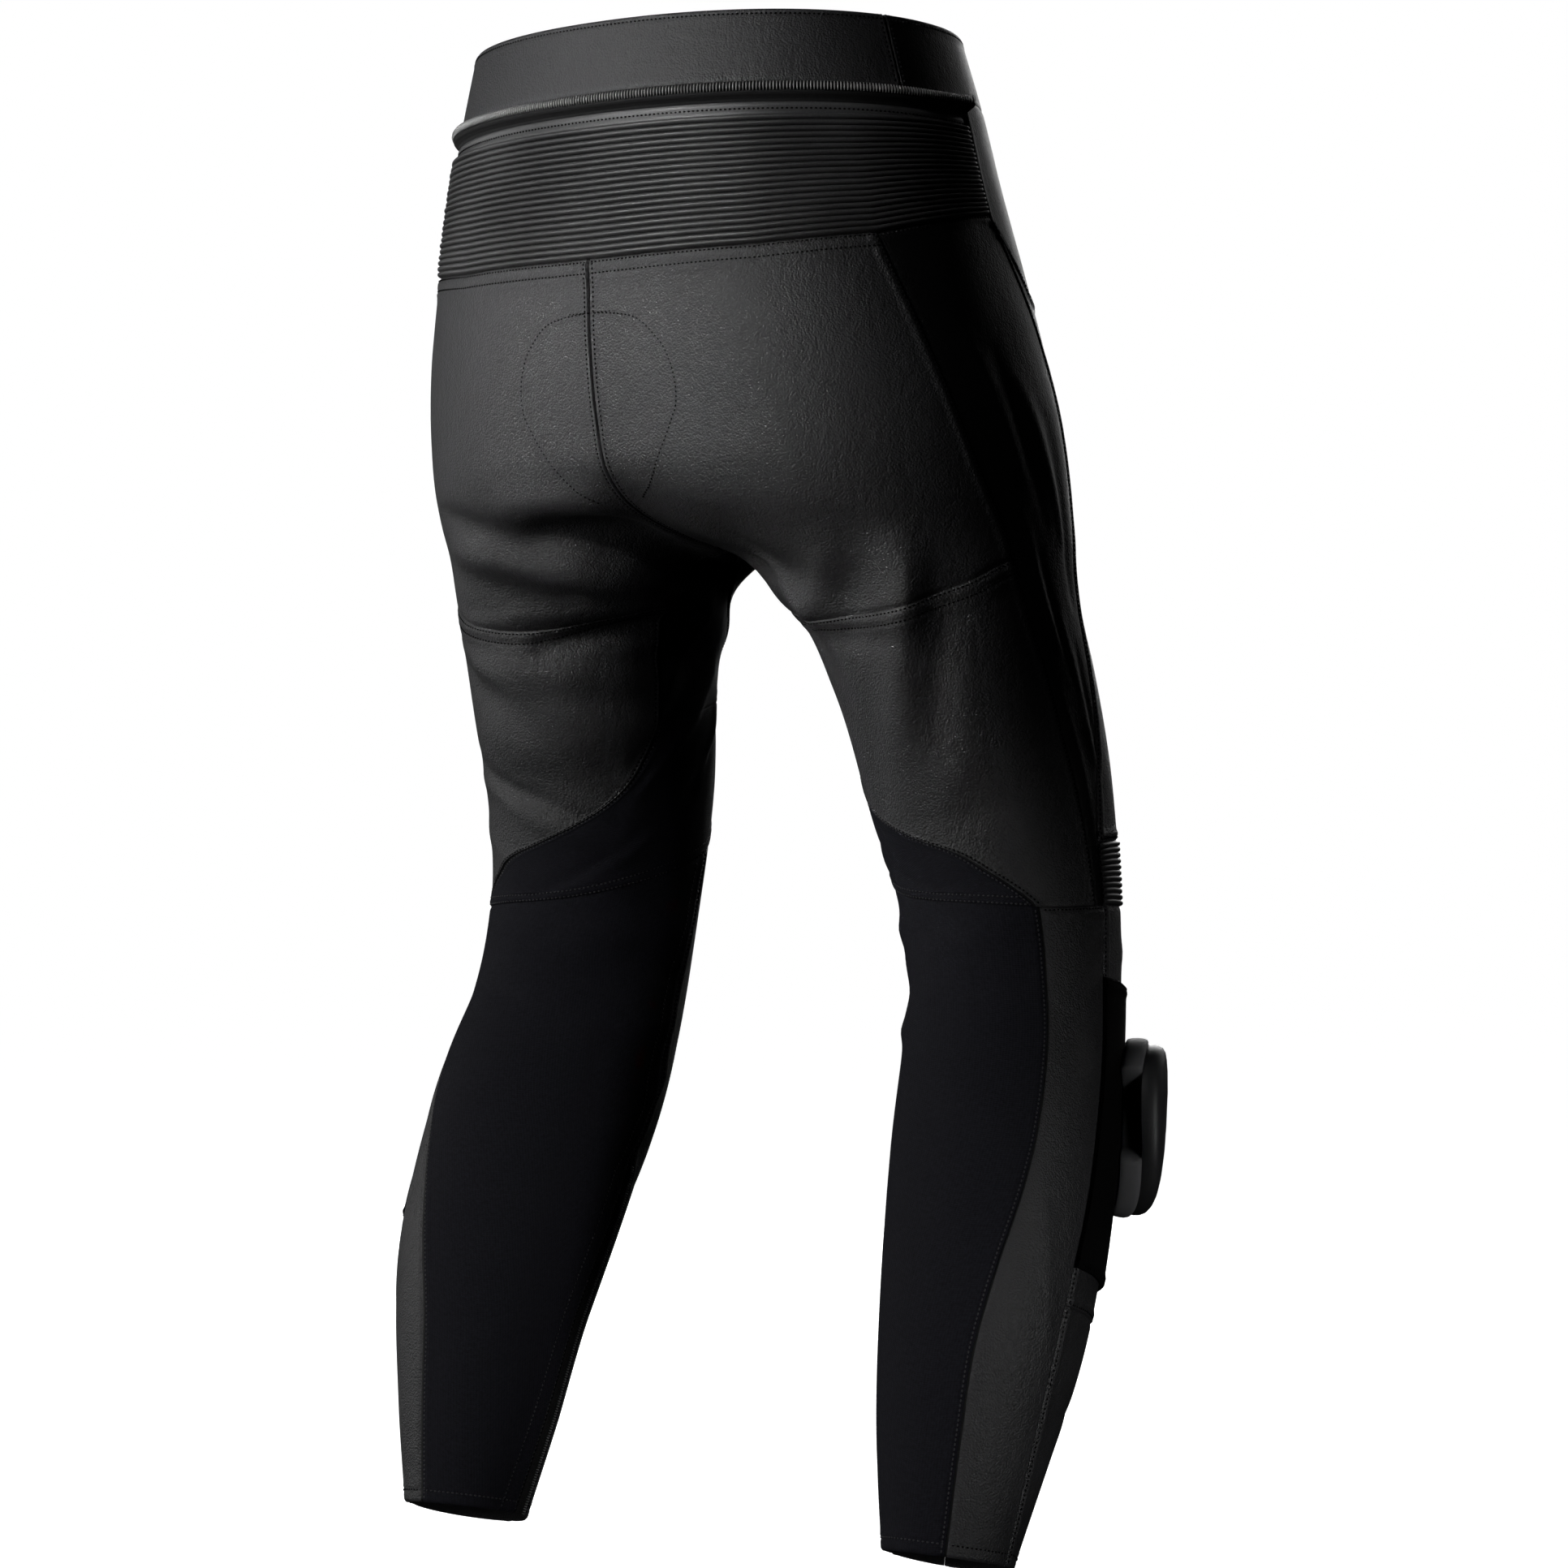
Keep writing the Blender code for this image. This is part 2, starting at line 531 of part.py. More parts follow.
def make_joining_zip():
    """Half a zip round the back below the waistband, its chain standing out, its ends turned out."""
    rows = rows_between(BAND, ZIP, ZIP_ROWS)
    side, angle, height = both_sides(rows, (level(HIP_SIDE), level(HIP_BACK), "hip_wrap"),
                                     (level(HIP_BACK), centre_line(False), "zip_back"))
    along = np.linspace(0, 1, angle.shape[1])
    ends = np.exp(-(along / CHAIN_END) ** 2) + np.exp(-((1 - along) / CHAIN_END) ** 2)
    proud = np.array(CHAIN_PROFILE)[:, None]
    add_cloth("joining_zip", side, angle, height, STRETCH, "zip_tape",
              relief=proud * (CHAIN_LIFT + CHAIN_END_LIFT * ends[None, :]))


def make_back_ribs():
    rows, raised = rib_rows(ZIP, YOKE, BACK_RIBS, BACK_RIB_MARGIN)
    side, angle, height = both_sides(rows, (level(HIP_SIDE), level(HIP_BACK), "hip_wrap"),
                                     (level(HIP_BACK), centre_line(False), "rib_back"))
    add_cloth("ribbed_back_panel", side, angle, height, LEATHER, "ribbed_leather",
              relief=BACK_RIB_HEIGHT * raised[:, None], stride=PLAIN_STRIDE)


def make_fly():
    """The fly facing: a strip down the centre front that narrows to its lower end."""
    rows = rows_between(BAND, ZIP, 1)[:-1]
    rows = np.concatenate([rows, rows_between(ZIP, YOKE, HIP_PANEL_ROWS),
                           YOKE + np.array(HIP_SHARES[1:4])])
    edge = centre_line(True, fly_half)
    half_angle, half_height = grid(rows, edge, centre_line(True), (0, 0.5, 1))
    angle = np.concatenate([half_angle, half_angle[:, -2::-1]], axis=1)
    height = np.concatenate([half_height, half_height[:, -2::-1]], axis=1)
    side = np.ones(angle.shape)
    side[:, half_angle.shape[1]:] = -1
    add_cloth("fly", side, angle, height, LEATHER, "leather")


def make_upper_leg(side):
    hip = YOKE + np.array(HIP_SHARES)
    thigh = rows_between(THIGH, KNEE, THIGH_ROWS)
    rib_row = THIGH + RIB_SHARE
    side_rows = np.sort(np.concatenate([hip, thigh[1:], [rib_row]]))
    side_back, side_front = seam(SIDE_BACK), seam(SIDE_FRONT)
    add_cloth(leg_name("seat", side), side,
              *grid(hip, side_back, centre_line(False), shares("seat")), LEATHER, "leather")
    add_cloth(leg_name("thigh_back", side), side,
              *grid(thigh, side_back, seam(KNEE_WEDGE), shares("thigh_back")), LEATHER, "leather")
    add_cloth(leg_name("side_panel", side), side,
              *grid(side_rows, side_front, side_back, shares("side_panel")),
              LEATHER, "side_leather")
    inner_rows = np.append(hip[INSEAM_TIP:], thigh[1:WEDGE_TOP + 1])
    add_cloth(leg_name("inner_thigh", side), side,
              *grid(inner_rows, seam(KNEE_WEDGE), seam(INNER_FRONT), shares("inner_thigh")),
              STRETCH, "stretch_cloth")
    add_cloth(leg_name("knee_back", side), side,
              *grid(thigh[WEDGE_TOP:], seam(KNEE_WEDGE), seam(INNER_FRONT), shares("knee_back")),
              STRETCH, "stretch_cloth")
    # Front
    front_edge = centre_line(True, fly_half)

    def front_inner(height):
        return np.where(height > CROTCH, front_edge(height), smooth_curve(INNER_FRONT, height) - 360)

    hip_rows = np.append([BAND], rows_between(ZIP, YOKE, HIP_PANEL_ROWS))
    add_cloth(leg_name("front_hip", side), side,
              *grid(hip_rows, front_inner, level(HIP_SIDE), shares("front_hip")), LEATHER, "leather")
    thigh_rows = np.concatenate([hip, thigh[1:RIB_TOP + 1], [rib_row]])
    add_cloth(leg_name("front_thigh", side), side,
              *grid(thigh_rows, front_inner, side_front, shares("front_thigh")), LEATHER, "leather")
    rib_marks, raised = rib_rows(rib_row, KNEE, KNEE_RIBS)
    add_cloth(leg_name("knee_ribs", side), side,
              *grid(rib_marks, front_inner, side_front, shares("knee")), LEATHER, "ribbed_leather",
              relief=KNEE_RIB_HEIGHT * raised[:, None], stride=PLAIN_STRIDE // 2)


def calf_zip_half(row):
    """Half width of the calf zip at a row, in metres."""
    first = KNEE + CALF_ZIP_TOP / LEG_ROWS
    return 0.0 if row < first - 1e-6 else CALF_ZIP_TIP if row < first + 1e-6 else CALF_ZIP_HALF


def beside_zip(rows, way):
    """Angles of the calf's inner seam, moved to one side by the zip's half width."""
    angle = seam_angles(rows, seam(CALF_INNER))
    moved = [way * calf_zip_half(row) for row in rows]
    radius = [section(row_height(row, a))[3] for row, a in zip(rows, angle)]
    return angle + np.degrees(np.array(moved) / np.array(radius))


def strip(rows, left, right, shares):
    """Like grid, from angles already worked out for each row."""
    angle = left[:, None] + (right - left)[:, None] * np.asarray(shares)[None, :]
    return angle, np.stack([row_height(row, angle[i]) for i, row in enumerate(rows)])


def make_lower_leg(side):
    rows = rows_between(KNEE, END, LEG_ROWS)
    front, outer, inner_front = seam(CALF_FRONT), seam(CALF_OUTER), seam(INNER_FRONT)
    add_cloth(leg_name("outer_calf", side), side, *grid(rows, front, outer, shares("outer_calf")),
              LEATHER, "leather")
    before, after = beside_zip(rows, -1), beside_zip(rows, 1)
    add_cloth(leg_name("calf_stretch", side), side,
              *strip(rows, seam_angles(rows, outer), before, shares("calf_stretch")),
              STRETCH, "stretch_cloth")
    add_cloth(leg_name("inner_shin", side), side,
              *strip(rows, after, seam_angles(rows, inner_front), shares("inner_shin")),
              LEATHER, "leather")
    low = slice(CALF_ZIP_TOP, None)
    across = np.array(CALF_ZIP_SHARES)
    ridge = CALF_ZIP_RIDGE * ((across > 0) & (across < 1))
    add_cloth(leg_name("calf_zip", side), side,
              *strip(rows[low], before[low], after[low], across),
              STRETCH, "zip_tape", relief=ridge[None, :])

    def inside(height):
        return smooth_curve(INNER_FRONT, height) - 360

    angle, height = grid(rows, inside, front, shares("knee"))
    cut = slice(0, KNEE_PANEL_END + 1)
    add_cloth(leg_name("knee_panel", side), side, angle[cut], height[cut], LEATHER, "leather")
    cut = slice(KNEE_PANEL_END, None)
    add_cloth(leg_name("shin_front", side), side, angle[cut], height[cut], LEATHER, "leather")
    cut = (slice(PAD_ROWS[0], PAD_ROWS[1] + 1), slice(-PAD_COLUMNS - 1, None))
    add_cloth(leg_name("slider_pad", side), side, angle[cut], height[cut], PAD_WALL, "loop_fabric",
              lift=PAD_WALL + SEAT, edges="r")


def make_slider(side):
    """Knee slider: a rounded block on the pad, narrower below, its outer face drawn in."""
    turn = np.linspace(0, 2 * np.pi, SLIDER_SPOKES, endpoint=False)
    low = (1 - np.sin(turn)) / 2
    half_wide = SLIDER_WIDE / 2 * (1 - SLIDER_NARROWING * low)
    reach = section(np.array(SLIDER_HEIGHT_AT))[3]
    seat = PAD_WALL + 3 * SEAT

    def ring(share, lift):
        angle = SLIDER_ANGLE + np.degrees(share * half_wide * np.cos(turn) / reach)
        height = SLIDER_HEIGHT_AT + share * SLIDER_TALL / 2 * np.sin(turn)
        flat = np.broadcast_to(float(side), angle.shape)
        return skin(flat, angle, height) + normal_of(skin, flat, angle, height) * lift

    loops = [ring(k / SLIDER_RINGS, seat) for k in range(1, SLIDER_RINGS + 1)]
    loops += [ring(share, seat + SLIDER_THICK * out) for share, out in SLIDER_PROFILE]
    base_middle, top_middle = ring(0.0, seat)[:1], ring(0.0, seat + SLIDER_THICK * SLIDER_CROWN)[:1]
    points = np.concatenate([base_middle, *loops, top_middle])
    n, last = SLIDER_SPOKES, 1 + len(loops) * SLIDER_SPOKES
    i = np.arange(n)
    j = (i + 1) % n
    faces = [np.stack([0 * i, 1 + j, 1 + i], -1)]
    for k in range(len(loops) - 1):
        a, b = 1 + k * n, 1 + (k + 1) * n
        faces += [np.stack([a + i, a + j, b + j], -1), np.stack([a + i, b + j, b + i], -1)]
    top = last - n
    faces.append(np.stack([top + i, top + j, 0 * i + last], -1))
    faces = np.concatenate(faces)
    if side < 0:
        faces = faces[:, ::-1]
    add_mesh(leg_name("knee_slider", side), points.tolist(), faces.tolist(), "slider_plastic")


for old in list(bpy.data.objects):
    bpy.data.objects.remove(old, do_unlink=True)
parts = bpy.data.collections.new("motorcycle_trousers")
bpy.context.scene.collection.children.link(parts)

make_waistband()
make_snap()
make_joining_zip()
make_back_ribs()
make_fly()
for leg in (1, -1):
    make_upper_leg(leg)
    make_lower_leg(leg)
    make_slider(leg)
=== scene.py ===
# %% [markdown]
# # Leather motorcycle trousers
#
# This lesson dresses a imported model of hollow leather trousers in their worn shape.
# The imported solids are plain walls, so each one is replaced here by a thin shell on the
# same form, with its creases, turned seams, ribs, stitches and zip teeth.
# Everything is in metres. The front faces -Y and the wearer's left is +X.

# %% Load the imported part
import json

import bmesh
import bpy
import numpy as np
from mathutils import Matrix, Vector

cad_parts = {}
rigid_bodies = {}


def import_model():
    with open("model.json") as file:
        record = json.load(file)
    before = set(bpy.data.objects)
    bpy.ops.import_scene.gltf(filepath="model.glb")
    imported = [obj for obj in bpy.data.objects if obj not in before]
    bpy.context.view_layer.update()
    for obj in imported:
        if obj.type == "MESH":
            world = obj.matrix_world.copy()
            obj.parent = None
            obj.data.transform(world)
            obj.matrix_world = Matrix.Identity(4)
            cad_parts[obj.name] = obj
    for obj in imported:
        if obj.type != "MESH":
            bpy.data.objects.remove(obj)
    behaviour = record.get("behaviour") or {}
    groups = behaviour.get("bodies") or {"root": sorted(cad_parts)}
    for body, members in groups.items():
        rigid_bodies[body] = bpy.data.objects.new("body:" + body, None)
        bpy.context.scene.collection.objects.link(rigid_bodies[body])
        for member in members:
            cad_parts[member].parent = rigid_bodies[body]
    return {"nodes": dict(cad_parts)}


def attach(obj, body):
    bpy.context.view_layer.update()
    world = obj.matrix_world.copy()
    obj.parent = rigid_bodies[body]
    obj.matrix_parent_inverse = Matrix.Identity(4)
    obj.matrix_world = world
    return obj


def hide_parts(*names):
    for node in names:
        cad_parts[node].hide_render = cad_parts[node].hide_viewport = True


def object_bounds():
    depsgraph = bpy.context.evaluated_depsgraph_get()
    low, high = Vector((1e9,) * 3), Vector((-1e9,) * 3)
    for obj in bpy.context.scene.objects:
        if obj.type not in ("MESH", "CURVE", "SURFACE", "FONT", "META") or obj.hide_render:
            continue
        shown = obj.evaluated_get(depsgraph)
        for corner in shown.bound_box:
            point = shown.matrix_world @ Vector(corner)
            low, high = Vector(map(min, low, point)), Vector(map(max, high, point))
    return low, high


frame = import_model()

cad_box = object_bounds()
print("packed pieces:", len(frame["nodes"]))

# %% [markdown]
# ## Camera, light and floor
#
# The photograph shows the trousers from behind and to their right side, level with the
# thighs. The camera stands three metres away with a long lens, as in a catalogue studio.
# Four soft lights behind and to the left, from high to low, model the folds. One at each
# side gives a thin bright rim, and two in front light the views that the photograph
# doesn't show. Three weak narrow beams lift the waistband, the seat and the right calf.

# %% Camera
CAMERA_AT = Vector((-1.847, 2.364, -0.560))
CAMERA_AIM = Vector((-0.0388, -0.0303, -0.4810))
LENS_MM, SENSOR_MM = 105.5, 36.0

camera_data = bpy.data.cameras.new("camera")
camera_data.lens = LENS_MM
camera_data.sensor_width = SENSOR_MM
camera_data.dof.use_dof = False
camera = bpy.data.objects.new("camera", camera_data)
camera.location = CAMERA_AT
camera.rotation_mode = "QUATERNION"
camera.rotation_quaternion = (CAMERA_AIM - CAMERA_AT).to_track_quat("-Z", "Y")
bpy.context.scene.collection.objects.link(camera)
bpy.context.scene.camera = camera
print("camera distance:", round((CAMERA_AIM - CAMERA_AT).length, 3), "m")

# %% Lights
AIM = (0.0, 0.0, -0.43)
LIGHTS = (
    # name, position, aim, width, height, watts, spread in degrees
    ("key_high", (0.81, 2.54, 1.32), AIM, 0.8, 0.8, 15.0, 180),
    ("key_side", (1.80, 1.92, 1.02), AIM, 0.9, 0.9, 5.0, 180),
    ("key_left", (1.13, 2.78, -0.78), AIM, 0.8, 1.2, 27.0, 180),
    ("key_low", (1.47, 2.67, -0.28), AIM, 0.8, 1.0, 20.0, 180),
    ("edge_left", (2.69, 0.45, -0.18), AIM, 0.8, 2.0, 13.0, 180),
    ("edge_right", (-2.70, -0.60, -0.10), AIM, 0.5, 1.6, 0.5, 180),
    ("front_left", (1.60, -3.00, 0.60), AIM, 1.6, 1.6, 62.0, 180),
    ("front_right", (0.10, -3.40, 0.80), AIM, 1.6, 1.6, 8.0, 180),
    ("on_waistband", (0.20, 2.90, 0.90), (0.06, 0.1, -0.02), 0.3, 0.3, 0.45, 11),
    ("on_seat", (0.95, 2.60, 0.60), (0.02, 0.12, -0.31), 0.3, 0.3, 0.25, 7),
    ("on_calf", (-2.60, 0.60, -0.86), (-0.22, 0.0, -0.86), 0.4, 0.5, 0.26, 11),
)


def add_light(name, position, aim, width, height, watts, spread):
    """A rectangular area light at a position, turned to face its aim."""
    data = bpy.data.lights.new(name, "AREA")
    data.shape = "RECTANGLE"
    data.size, data.size_y = width, height
    data.energy = watts
    data.spread = np.radians(spread)
    lamp = bpy.data.objects.new(name, data)
    lamp.location = position
    lamp.rotation_mode = "QUATERNION"
    lamp.rotation_quaternion = (Vector(aim) - Vector(position)).to_track_quat("-Z", "Y")
    lamp.visible_camera = False
    bpy.context.scene.collection.objects.link(lamp)


for light in LIGHTS:
    add_light(*light)
bpy.context.scene.view_settings.view_transform = "Standard"
print("lights:", len(LIGHTS))

# %% [markdown]
# ## Shader maths
#
# A finish is worked out from numbers that vary over the surface, such as the height of
# a grain. Wrapping a node's socket in a small class lets those numbers be written as
# plain arithmetic, and each operator adds one Math node.

# %% Values and finishes


class Value:
    """A number that varies over a surface. Arithmetic on it adds Math nodes."""

    def __init__(self, finish, socket):
        self.finish = finish
        self.socket = socket

    def maths(self, operation, *values):
        made = self.finish.node("ShaderNodeMath", {"operation": operation},
                                dict(enumerate(values)))
        return Value(self.finish, made.outputs[0])

    def __add__(self, other):
        return self.maths("ADD", self, other)

    def __sub__(self, other):
        return self.maths("SUBTRACT", self, other)

    def __rsub__(self, other):
        return self.maths("SUBTRACT", other, self)

    def __mul__(self, other):
        return self.maths("MULTIPLY", self, other)

    __radd__ = __add__
    __rmul__ = __mul__

    def between(self, low, high):
        """0 at low, 1 at high, and a straight line from one to the other."""
        made = self.finish.node("ShaderNodeMapRange", {"clamp": True},
                                {0: self, 1: low, 2: high, 3: 0.0, 4: 1.0})
        return Value(self.finish, made.outputs[0])

    def sine(self):
        return self.maths("SINE", self)


class Finish:
    """One material with a Principled shader, and the nodes that feed it."""

    def __init__(self, name, **constants):
        self.material = bpy.data.materials.new(name)
        self.material.use_nodes = True
        self.tree = self.material.node_tree
        self.shader = self.tree.nodes["Principled BSDF"]
        for socket, value in constants.items():
            self.shader.inputs[socket.replace("_", " ")].default_value = value

    def node(self, kind, settings=None, inputs=None):
        """Add a node, set it up, then set its sockets to values or link them."""
        made = self.tree.nodes.new(kind)
        for setting, value in (settings or {}).items():
            setattr(made, setting, value)
        for socket, value in (inputs or {}).items():
            self.feed(made.inputs[socket], value)
        return made

    def feed(self, socket, value):
        if isinstance(value, Value):
            value = value.socket
        if isinstance(value, bpy.types.NodeSocket):
            self.tree.links.new(value, socket)
        else:
            socket.default_value = value

    def place(self, scale=(1, 1, 1)):
        """Object coordinates, stretched by a Mapping node."""
        where = self.node("ShaderNodeTexCoord").outputs["Object"]
        return self.node("ShaderNodeMapping", {}, {"Vector": where, "Scale": scale}).outputs[0]

    def cloth(self):
        """The piece's own map in metres: across it and down it."""
        where = self.node("ShaderNodeUVMap", {"uv_map": "cut"}).outputs[0]
        parts = self.node("ShaderNodeSeparateXYZ", {}, {0: where})
        return where, Value(self, parts.outputs[0]), Value(self, parts.outputs[1])

    def noise(self, where, scale, detail=2.0, rough=0.5):
        made = self.node("ShaderNodeTexNoise", {},
                         {"Vector": where, "Scale": scale, "Detail": detail, "Roughness": rough})
        return Value(self, made.outputs[0])

    def cells(self, where, scale):
        """Distance to the nearest cell's middle: 0 there, about 0.7 at its edge."""
        made = self.node("ShaderNodeTexVoronoi", {"feature": "F1"},
                         {"Vector": where, "Scale": scale})
        return Value(self, made.outputs["Distance"])

    def edge_mark(self):
        """The piece's own "edge" number: 1 on worn or marked parts, 0 elsewhere."""
        made = self.node("ShaderNodeAttribute", {"attribute_name": "edge"})
        return Value(self, made.outputs["Fac"])

    def blend(self, share, one, other):
        """A colour between two others."""
        made = self.node("ShaderNodeMix", {"data_type": "RGBA"},
                         {0: share, 6: (*one, 1.0), 7: (*other, 1.0)})
        return made.outputs[2]

    def emboss(self, height, metres):
        """Bump the surface by a height from 0 to 1 times a distance in metres."""
        made = self.node("ShaderNodeBump", {}, {"Height": height, "Distance": metres})
        self.feed(self.shader.inputs["Normal"], made.outputs[0])


print("shader helpers ready")

# %% [markdown]
# ## Leather
#
# The hide is black, with a fine pebble grain of about a millimetre and a soft sheen.
# Rounded cells give the pebbles, a slower noise wrinkles them, and a long one gives the
# hide's faint clouding. The turned edges are a little smoother from handling. The side
# panels are a darker, duller hide. The front hips are the seat's leather, but they take the
# same dark hide as painted shade. The ribs are a smoother, paler hide.

# %% Leather finishes
PEBBLES, PORES, WRINKLES, CLOUDS = 760.0, 1500.0, 170.0, 14.0   # repeats in a metre
WRINKLE_STRETCH = (1.0, 1.0, 0.6)


def leather(name, dark, light, roughness, grain, sheen):
    """Pebble grain from rounded cells over slow noise; roughness follows the clouding."""
    finish = Finish(name, Specular_IOR_Level=sheen)
    where = finish.place()
    pebble = 1.0 - finish.cells(where, PEBBLES)
    small = finish.noise(where, PORES, 2.0)
    creased = finish.noise(finish.place(WRINKLE_STRETCH), WRINKLES, 5.0, 0.65)
    clouds = finish.noise(where, CLOUDS, 3.0)
    worn = finish.edge_mark()
    finish.feed(finish.shader.inputs["Base Color"],
                finish.blend(clouds.between(0.3, 0.7) * 0.5 + (pebble - 0.4) * 0.5 + worn * 0.6,
                             dark, light))
    finish.feed(finish.shader.inputs["Roughness"],
                roughness + (clouds - 0.5) * 0.22 + (small - 0.5) * 0.20 - worn * 0.06)
    finish.emboss(pebble * 0.55 + small * 0.25 + creased * 1.1, grain)
    return finish.material


HIDE = leather("leather", (0.009, 0.009, 0.0097), (0.022, 0.022, 0.0235), 0.53, 0.00080, 0.44)
# the side panels' own darker, duller hide, also laid on the front hips as painted shade
SIDE_AND_SHADED_HIDE = leather("side_leather", (0.0020, 0.0020, 0.0022), (0.0050, 0.0050, 0.0053), 0.50,
                    0.00045, 0.17)
RIB_HIDE = leather("ribbed_leather", (0.016, 0.016, 0.0165), (0.050, 0.050, 0.051), 0.48,
                   0.00005, 0.50)
print("leathers:", HIDE.name, SIDE_AND_SHADED_HIDE.name, RIB_HIDE.name)

# %% [markdown]
# ## Stretch cloth, tapes and linings
#
# The cloth behind the knees and on the calves is a matt, bluish-black weave with a fine
# speckle. Its threads follow the piece's own map, so that they run round and along the
# leg. Zip tape is a finer rib, the slider's pad is a brushed loop fabric, and the lining
# is a plain mesh.

# %% Cloth finishes
TURN = 2 * np.pi
UNEVEN, FUZZ, SPECKLE = 90.0, 2600.0, 420.0


def woven(name, dark, light, across_mm, down_mm, depth, sheen, rib=0.0):
    """Threads as two crossed sine waves on the piece's map, uneven by a noise."""
    finish = Finish(name, Specular_IOR_Level=sheen)
    where, across, down = finish.cloth()
    uneven = finish.noise(where, UNEVEN, 3.0)
    weft = (across * (TURN / (across_mm * 0.001)) + uneven * 2.0).sine() * 0.5 + 0.5
    warp = (down * (TURN / (down_mm * 0.001)) + uneven * 2.0).sine() * 0.5 + 0.5
    thread = weft * (0.5 - rib) + warp * (0.5 + rib)
    fuzz = finish.noise(where, FUZZ, 2.0)
    speckle = finish.noise(where, SPECKLE, 4.0, 0.7).between(0.36, 0.64)
    finish.feed(finish.shader.inputs["Base Color"],
                finish.blend(thread * 0.35 + uneven * 0.2 + speckle * 0.5, dark, light))
    finish.feed(finish.shader.inputs["Roughness"], 0.80 + (fuzz - 0.5) * 0.20)
    finish.emboss(thread * 0.7 + fuzz * 0.5, depth)
    return finish.material


STRETCH_CLOTH = woven("stretch_cloth", (0.0020, 0.0020, 0.0032), (0.0120, 0.0120, 0.0165),
                      1.9, 1.3, 0.00022, 0.10)
TAPE = woven("zip_tape", (0.0040, 0.0040, 0.0042), (0.0095, 0.0095, 0.0098), 0.7, 1.4,
             0.00015, 0.16, rib=0.3)
LINING = woven("lining", (0.0040, 0.0040, 0.0043), (0.0100, 0.0100, 0.0105), 2.2, 2.2,
               0.00030, 0.12)
LOOP_SCALE, PATCH_SCALE = 1500.0, 60.0


def brushed_loops():
    """Short loops: a fine noise on a coarser one, with almost no sheen."""
    finish = Finish("loop_fabric", Specular_IOR_Level=0.05)
    where = finish.place()
    loops = finish.noise(where, LOOP_SCALE, 3.0, 0.7)
    patches = finish.noise(where, PATCH_SCALE, 2.0)
    finish.feed(finish.shader.inputs["Base Color"],
                finish.blend(loops * 0.7 + patches * 0.3, (0.0010, 0.0010, 0.0010),
                             (0.0026, 0.0026, 0.0026)))
    finish.feed(finish.shader.inputs["Roughness"], 0.9 + (loops - 0.5) * 0.15)
    finish.emboss(loops + patches * 0.5, 0.0007)
    return finish.material


LOOPS = brushed_loops()
print("cloths:", STRETCH_CLOTH.name, TAPE.name, LINING.name, LOOPS.name)

# %% [markdown]
# ## Thread, zip teeth, piping, slider and snap
#
# The thread in the leather is matt black. The thread in the cloth and the side panels is a
# lighter grey with a low gloss, which is partly painted highlight: it stands in for the light
# specks of the puckered stitch rows. The zip teeth are moulded plastic, made pale grey as
# partly painted light, so that they read bright in the shade under the waistband. The
# slider is a hard black plastic with a greyer, matt rim, which its "edge" numbers mark.
# The piping is a black covered cord, and the snap is black lacquer on metal.

# %% Hard and shiny finishes
SAND_SCALE, SCUFF_SCALE = 2200.0, 35.0


def moulded(name, dark, light, roughness, texture, sheen):
    """Moulded plastic: fine sand texture, slow clouding, a lighter and rougher marked part."""
    finish = Finish(name, Specular_IOR_Level=sheen)
    where = finish.place()
    sand = finish.noise(where, SAND_SCALE, 2.0)
    clouds = finish.noise(where, SCUFF_SCALE, 3.0)
    marked = finish.edge_mark()
    finish.feed(finish.shader.inputs["Base Color"],
                finish.blend(marked * 0.85 + clouds * 0.15, dark, light))
    finish.feed(finish.shader.inputs["Roughness"],
                roughness + (clouds - 0.5) * 0.15 + marked * 0.18)
    finish.emboss(sand, texture)
    return finish.material


THREAD = moulded("thread", (0.0010, 0.0010, 0.0011), (0.0030, 0.0030, 0.0031), 0.80,
                 0.00008, 0.06)
# lighter grey thread for cloth and side panels, partly painted highlight for the light specks of
# puckered rows
CLOTH_THREAD = moulded("thread_on_cloth", (0.022, 0.022, 0.024), (0.050, 0.050, 0.054), 0.55,
                       0.00008, 0.30)
# the teeth's pale grey is partly painted light, lifting them where they sit in the shade under the
# waistband
TEETH = moulded("zip_teeth", (0.15, 0.15, 0.15), (0.34, 0.34, 0.34), 0.42, 0.00003, 0.6)
SLIDER = moulded("slider_plastic", (0.014, 0.014, 0.015), (0.100, 0.100, 0.104), 0.46,
                 0.00012, 0.36)
PIPING = moulded("piping", (0.0012, 0.0012, 0.0013), (0.0035, 0.0035, 0.0037), 0.55,
                 0.00010, 0.22)
SNAP = moulded("snap_metal", (0.010, 0.010, 0.010), (0.030, 0.030, 0.030), 0.22, 0.00002, 0.8)
HARD = (THREAD, CLOTH_THREAD, TEETH, SLIDER, PIPING, SNAP)
print("hard finishes:", ", ".join(finish.name for finish in HARD))

# %% [markdown]
# ## The skin that every piece is cut from
#
# A garment pattern could be laid out flat and sewn by simulation, but these seams have to
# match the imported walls. So the walls' own skin is worked out again, on a finer grid. A
# point has an angle round the leg (0 outside, 90 behind, 180 inside, -90 in front) and a
# height. Each section of a leg is a rounded, slanted ellipse.

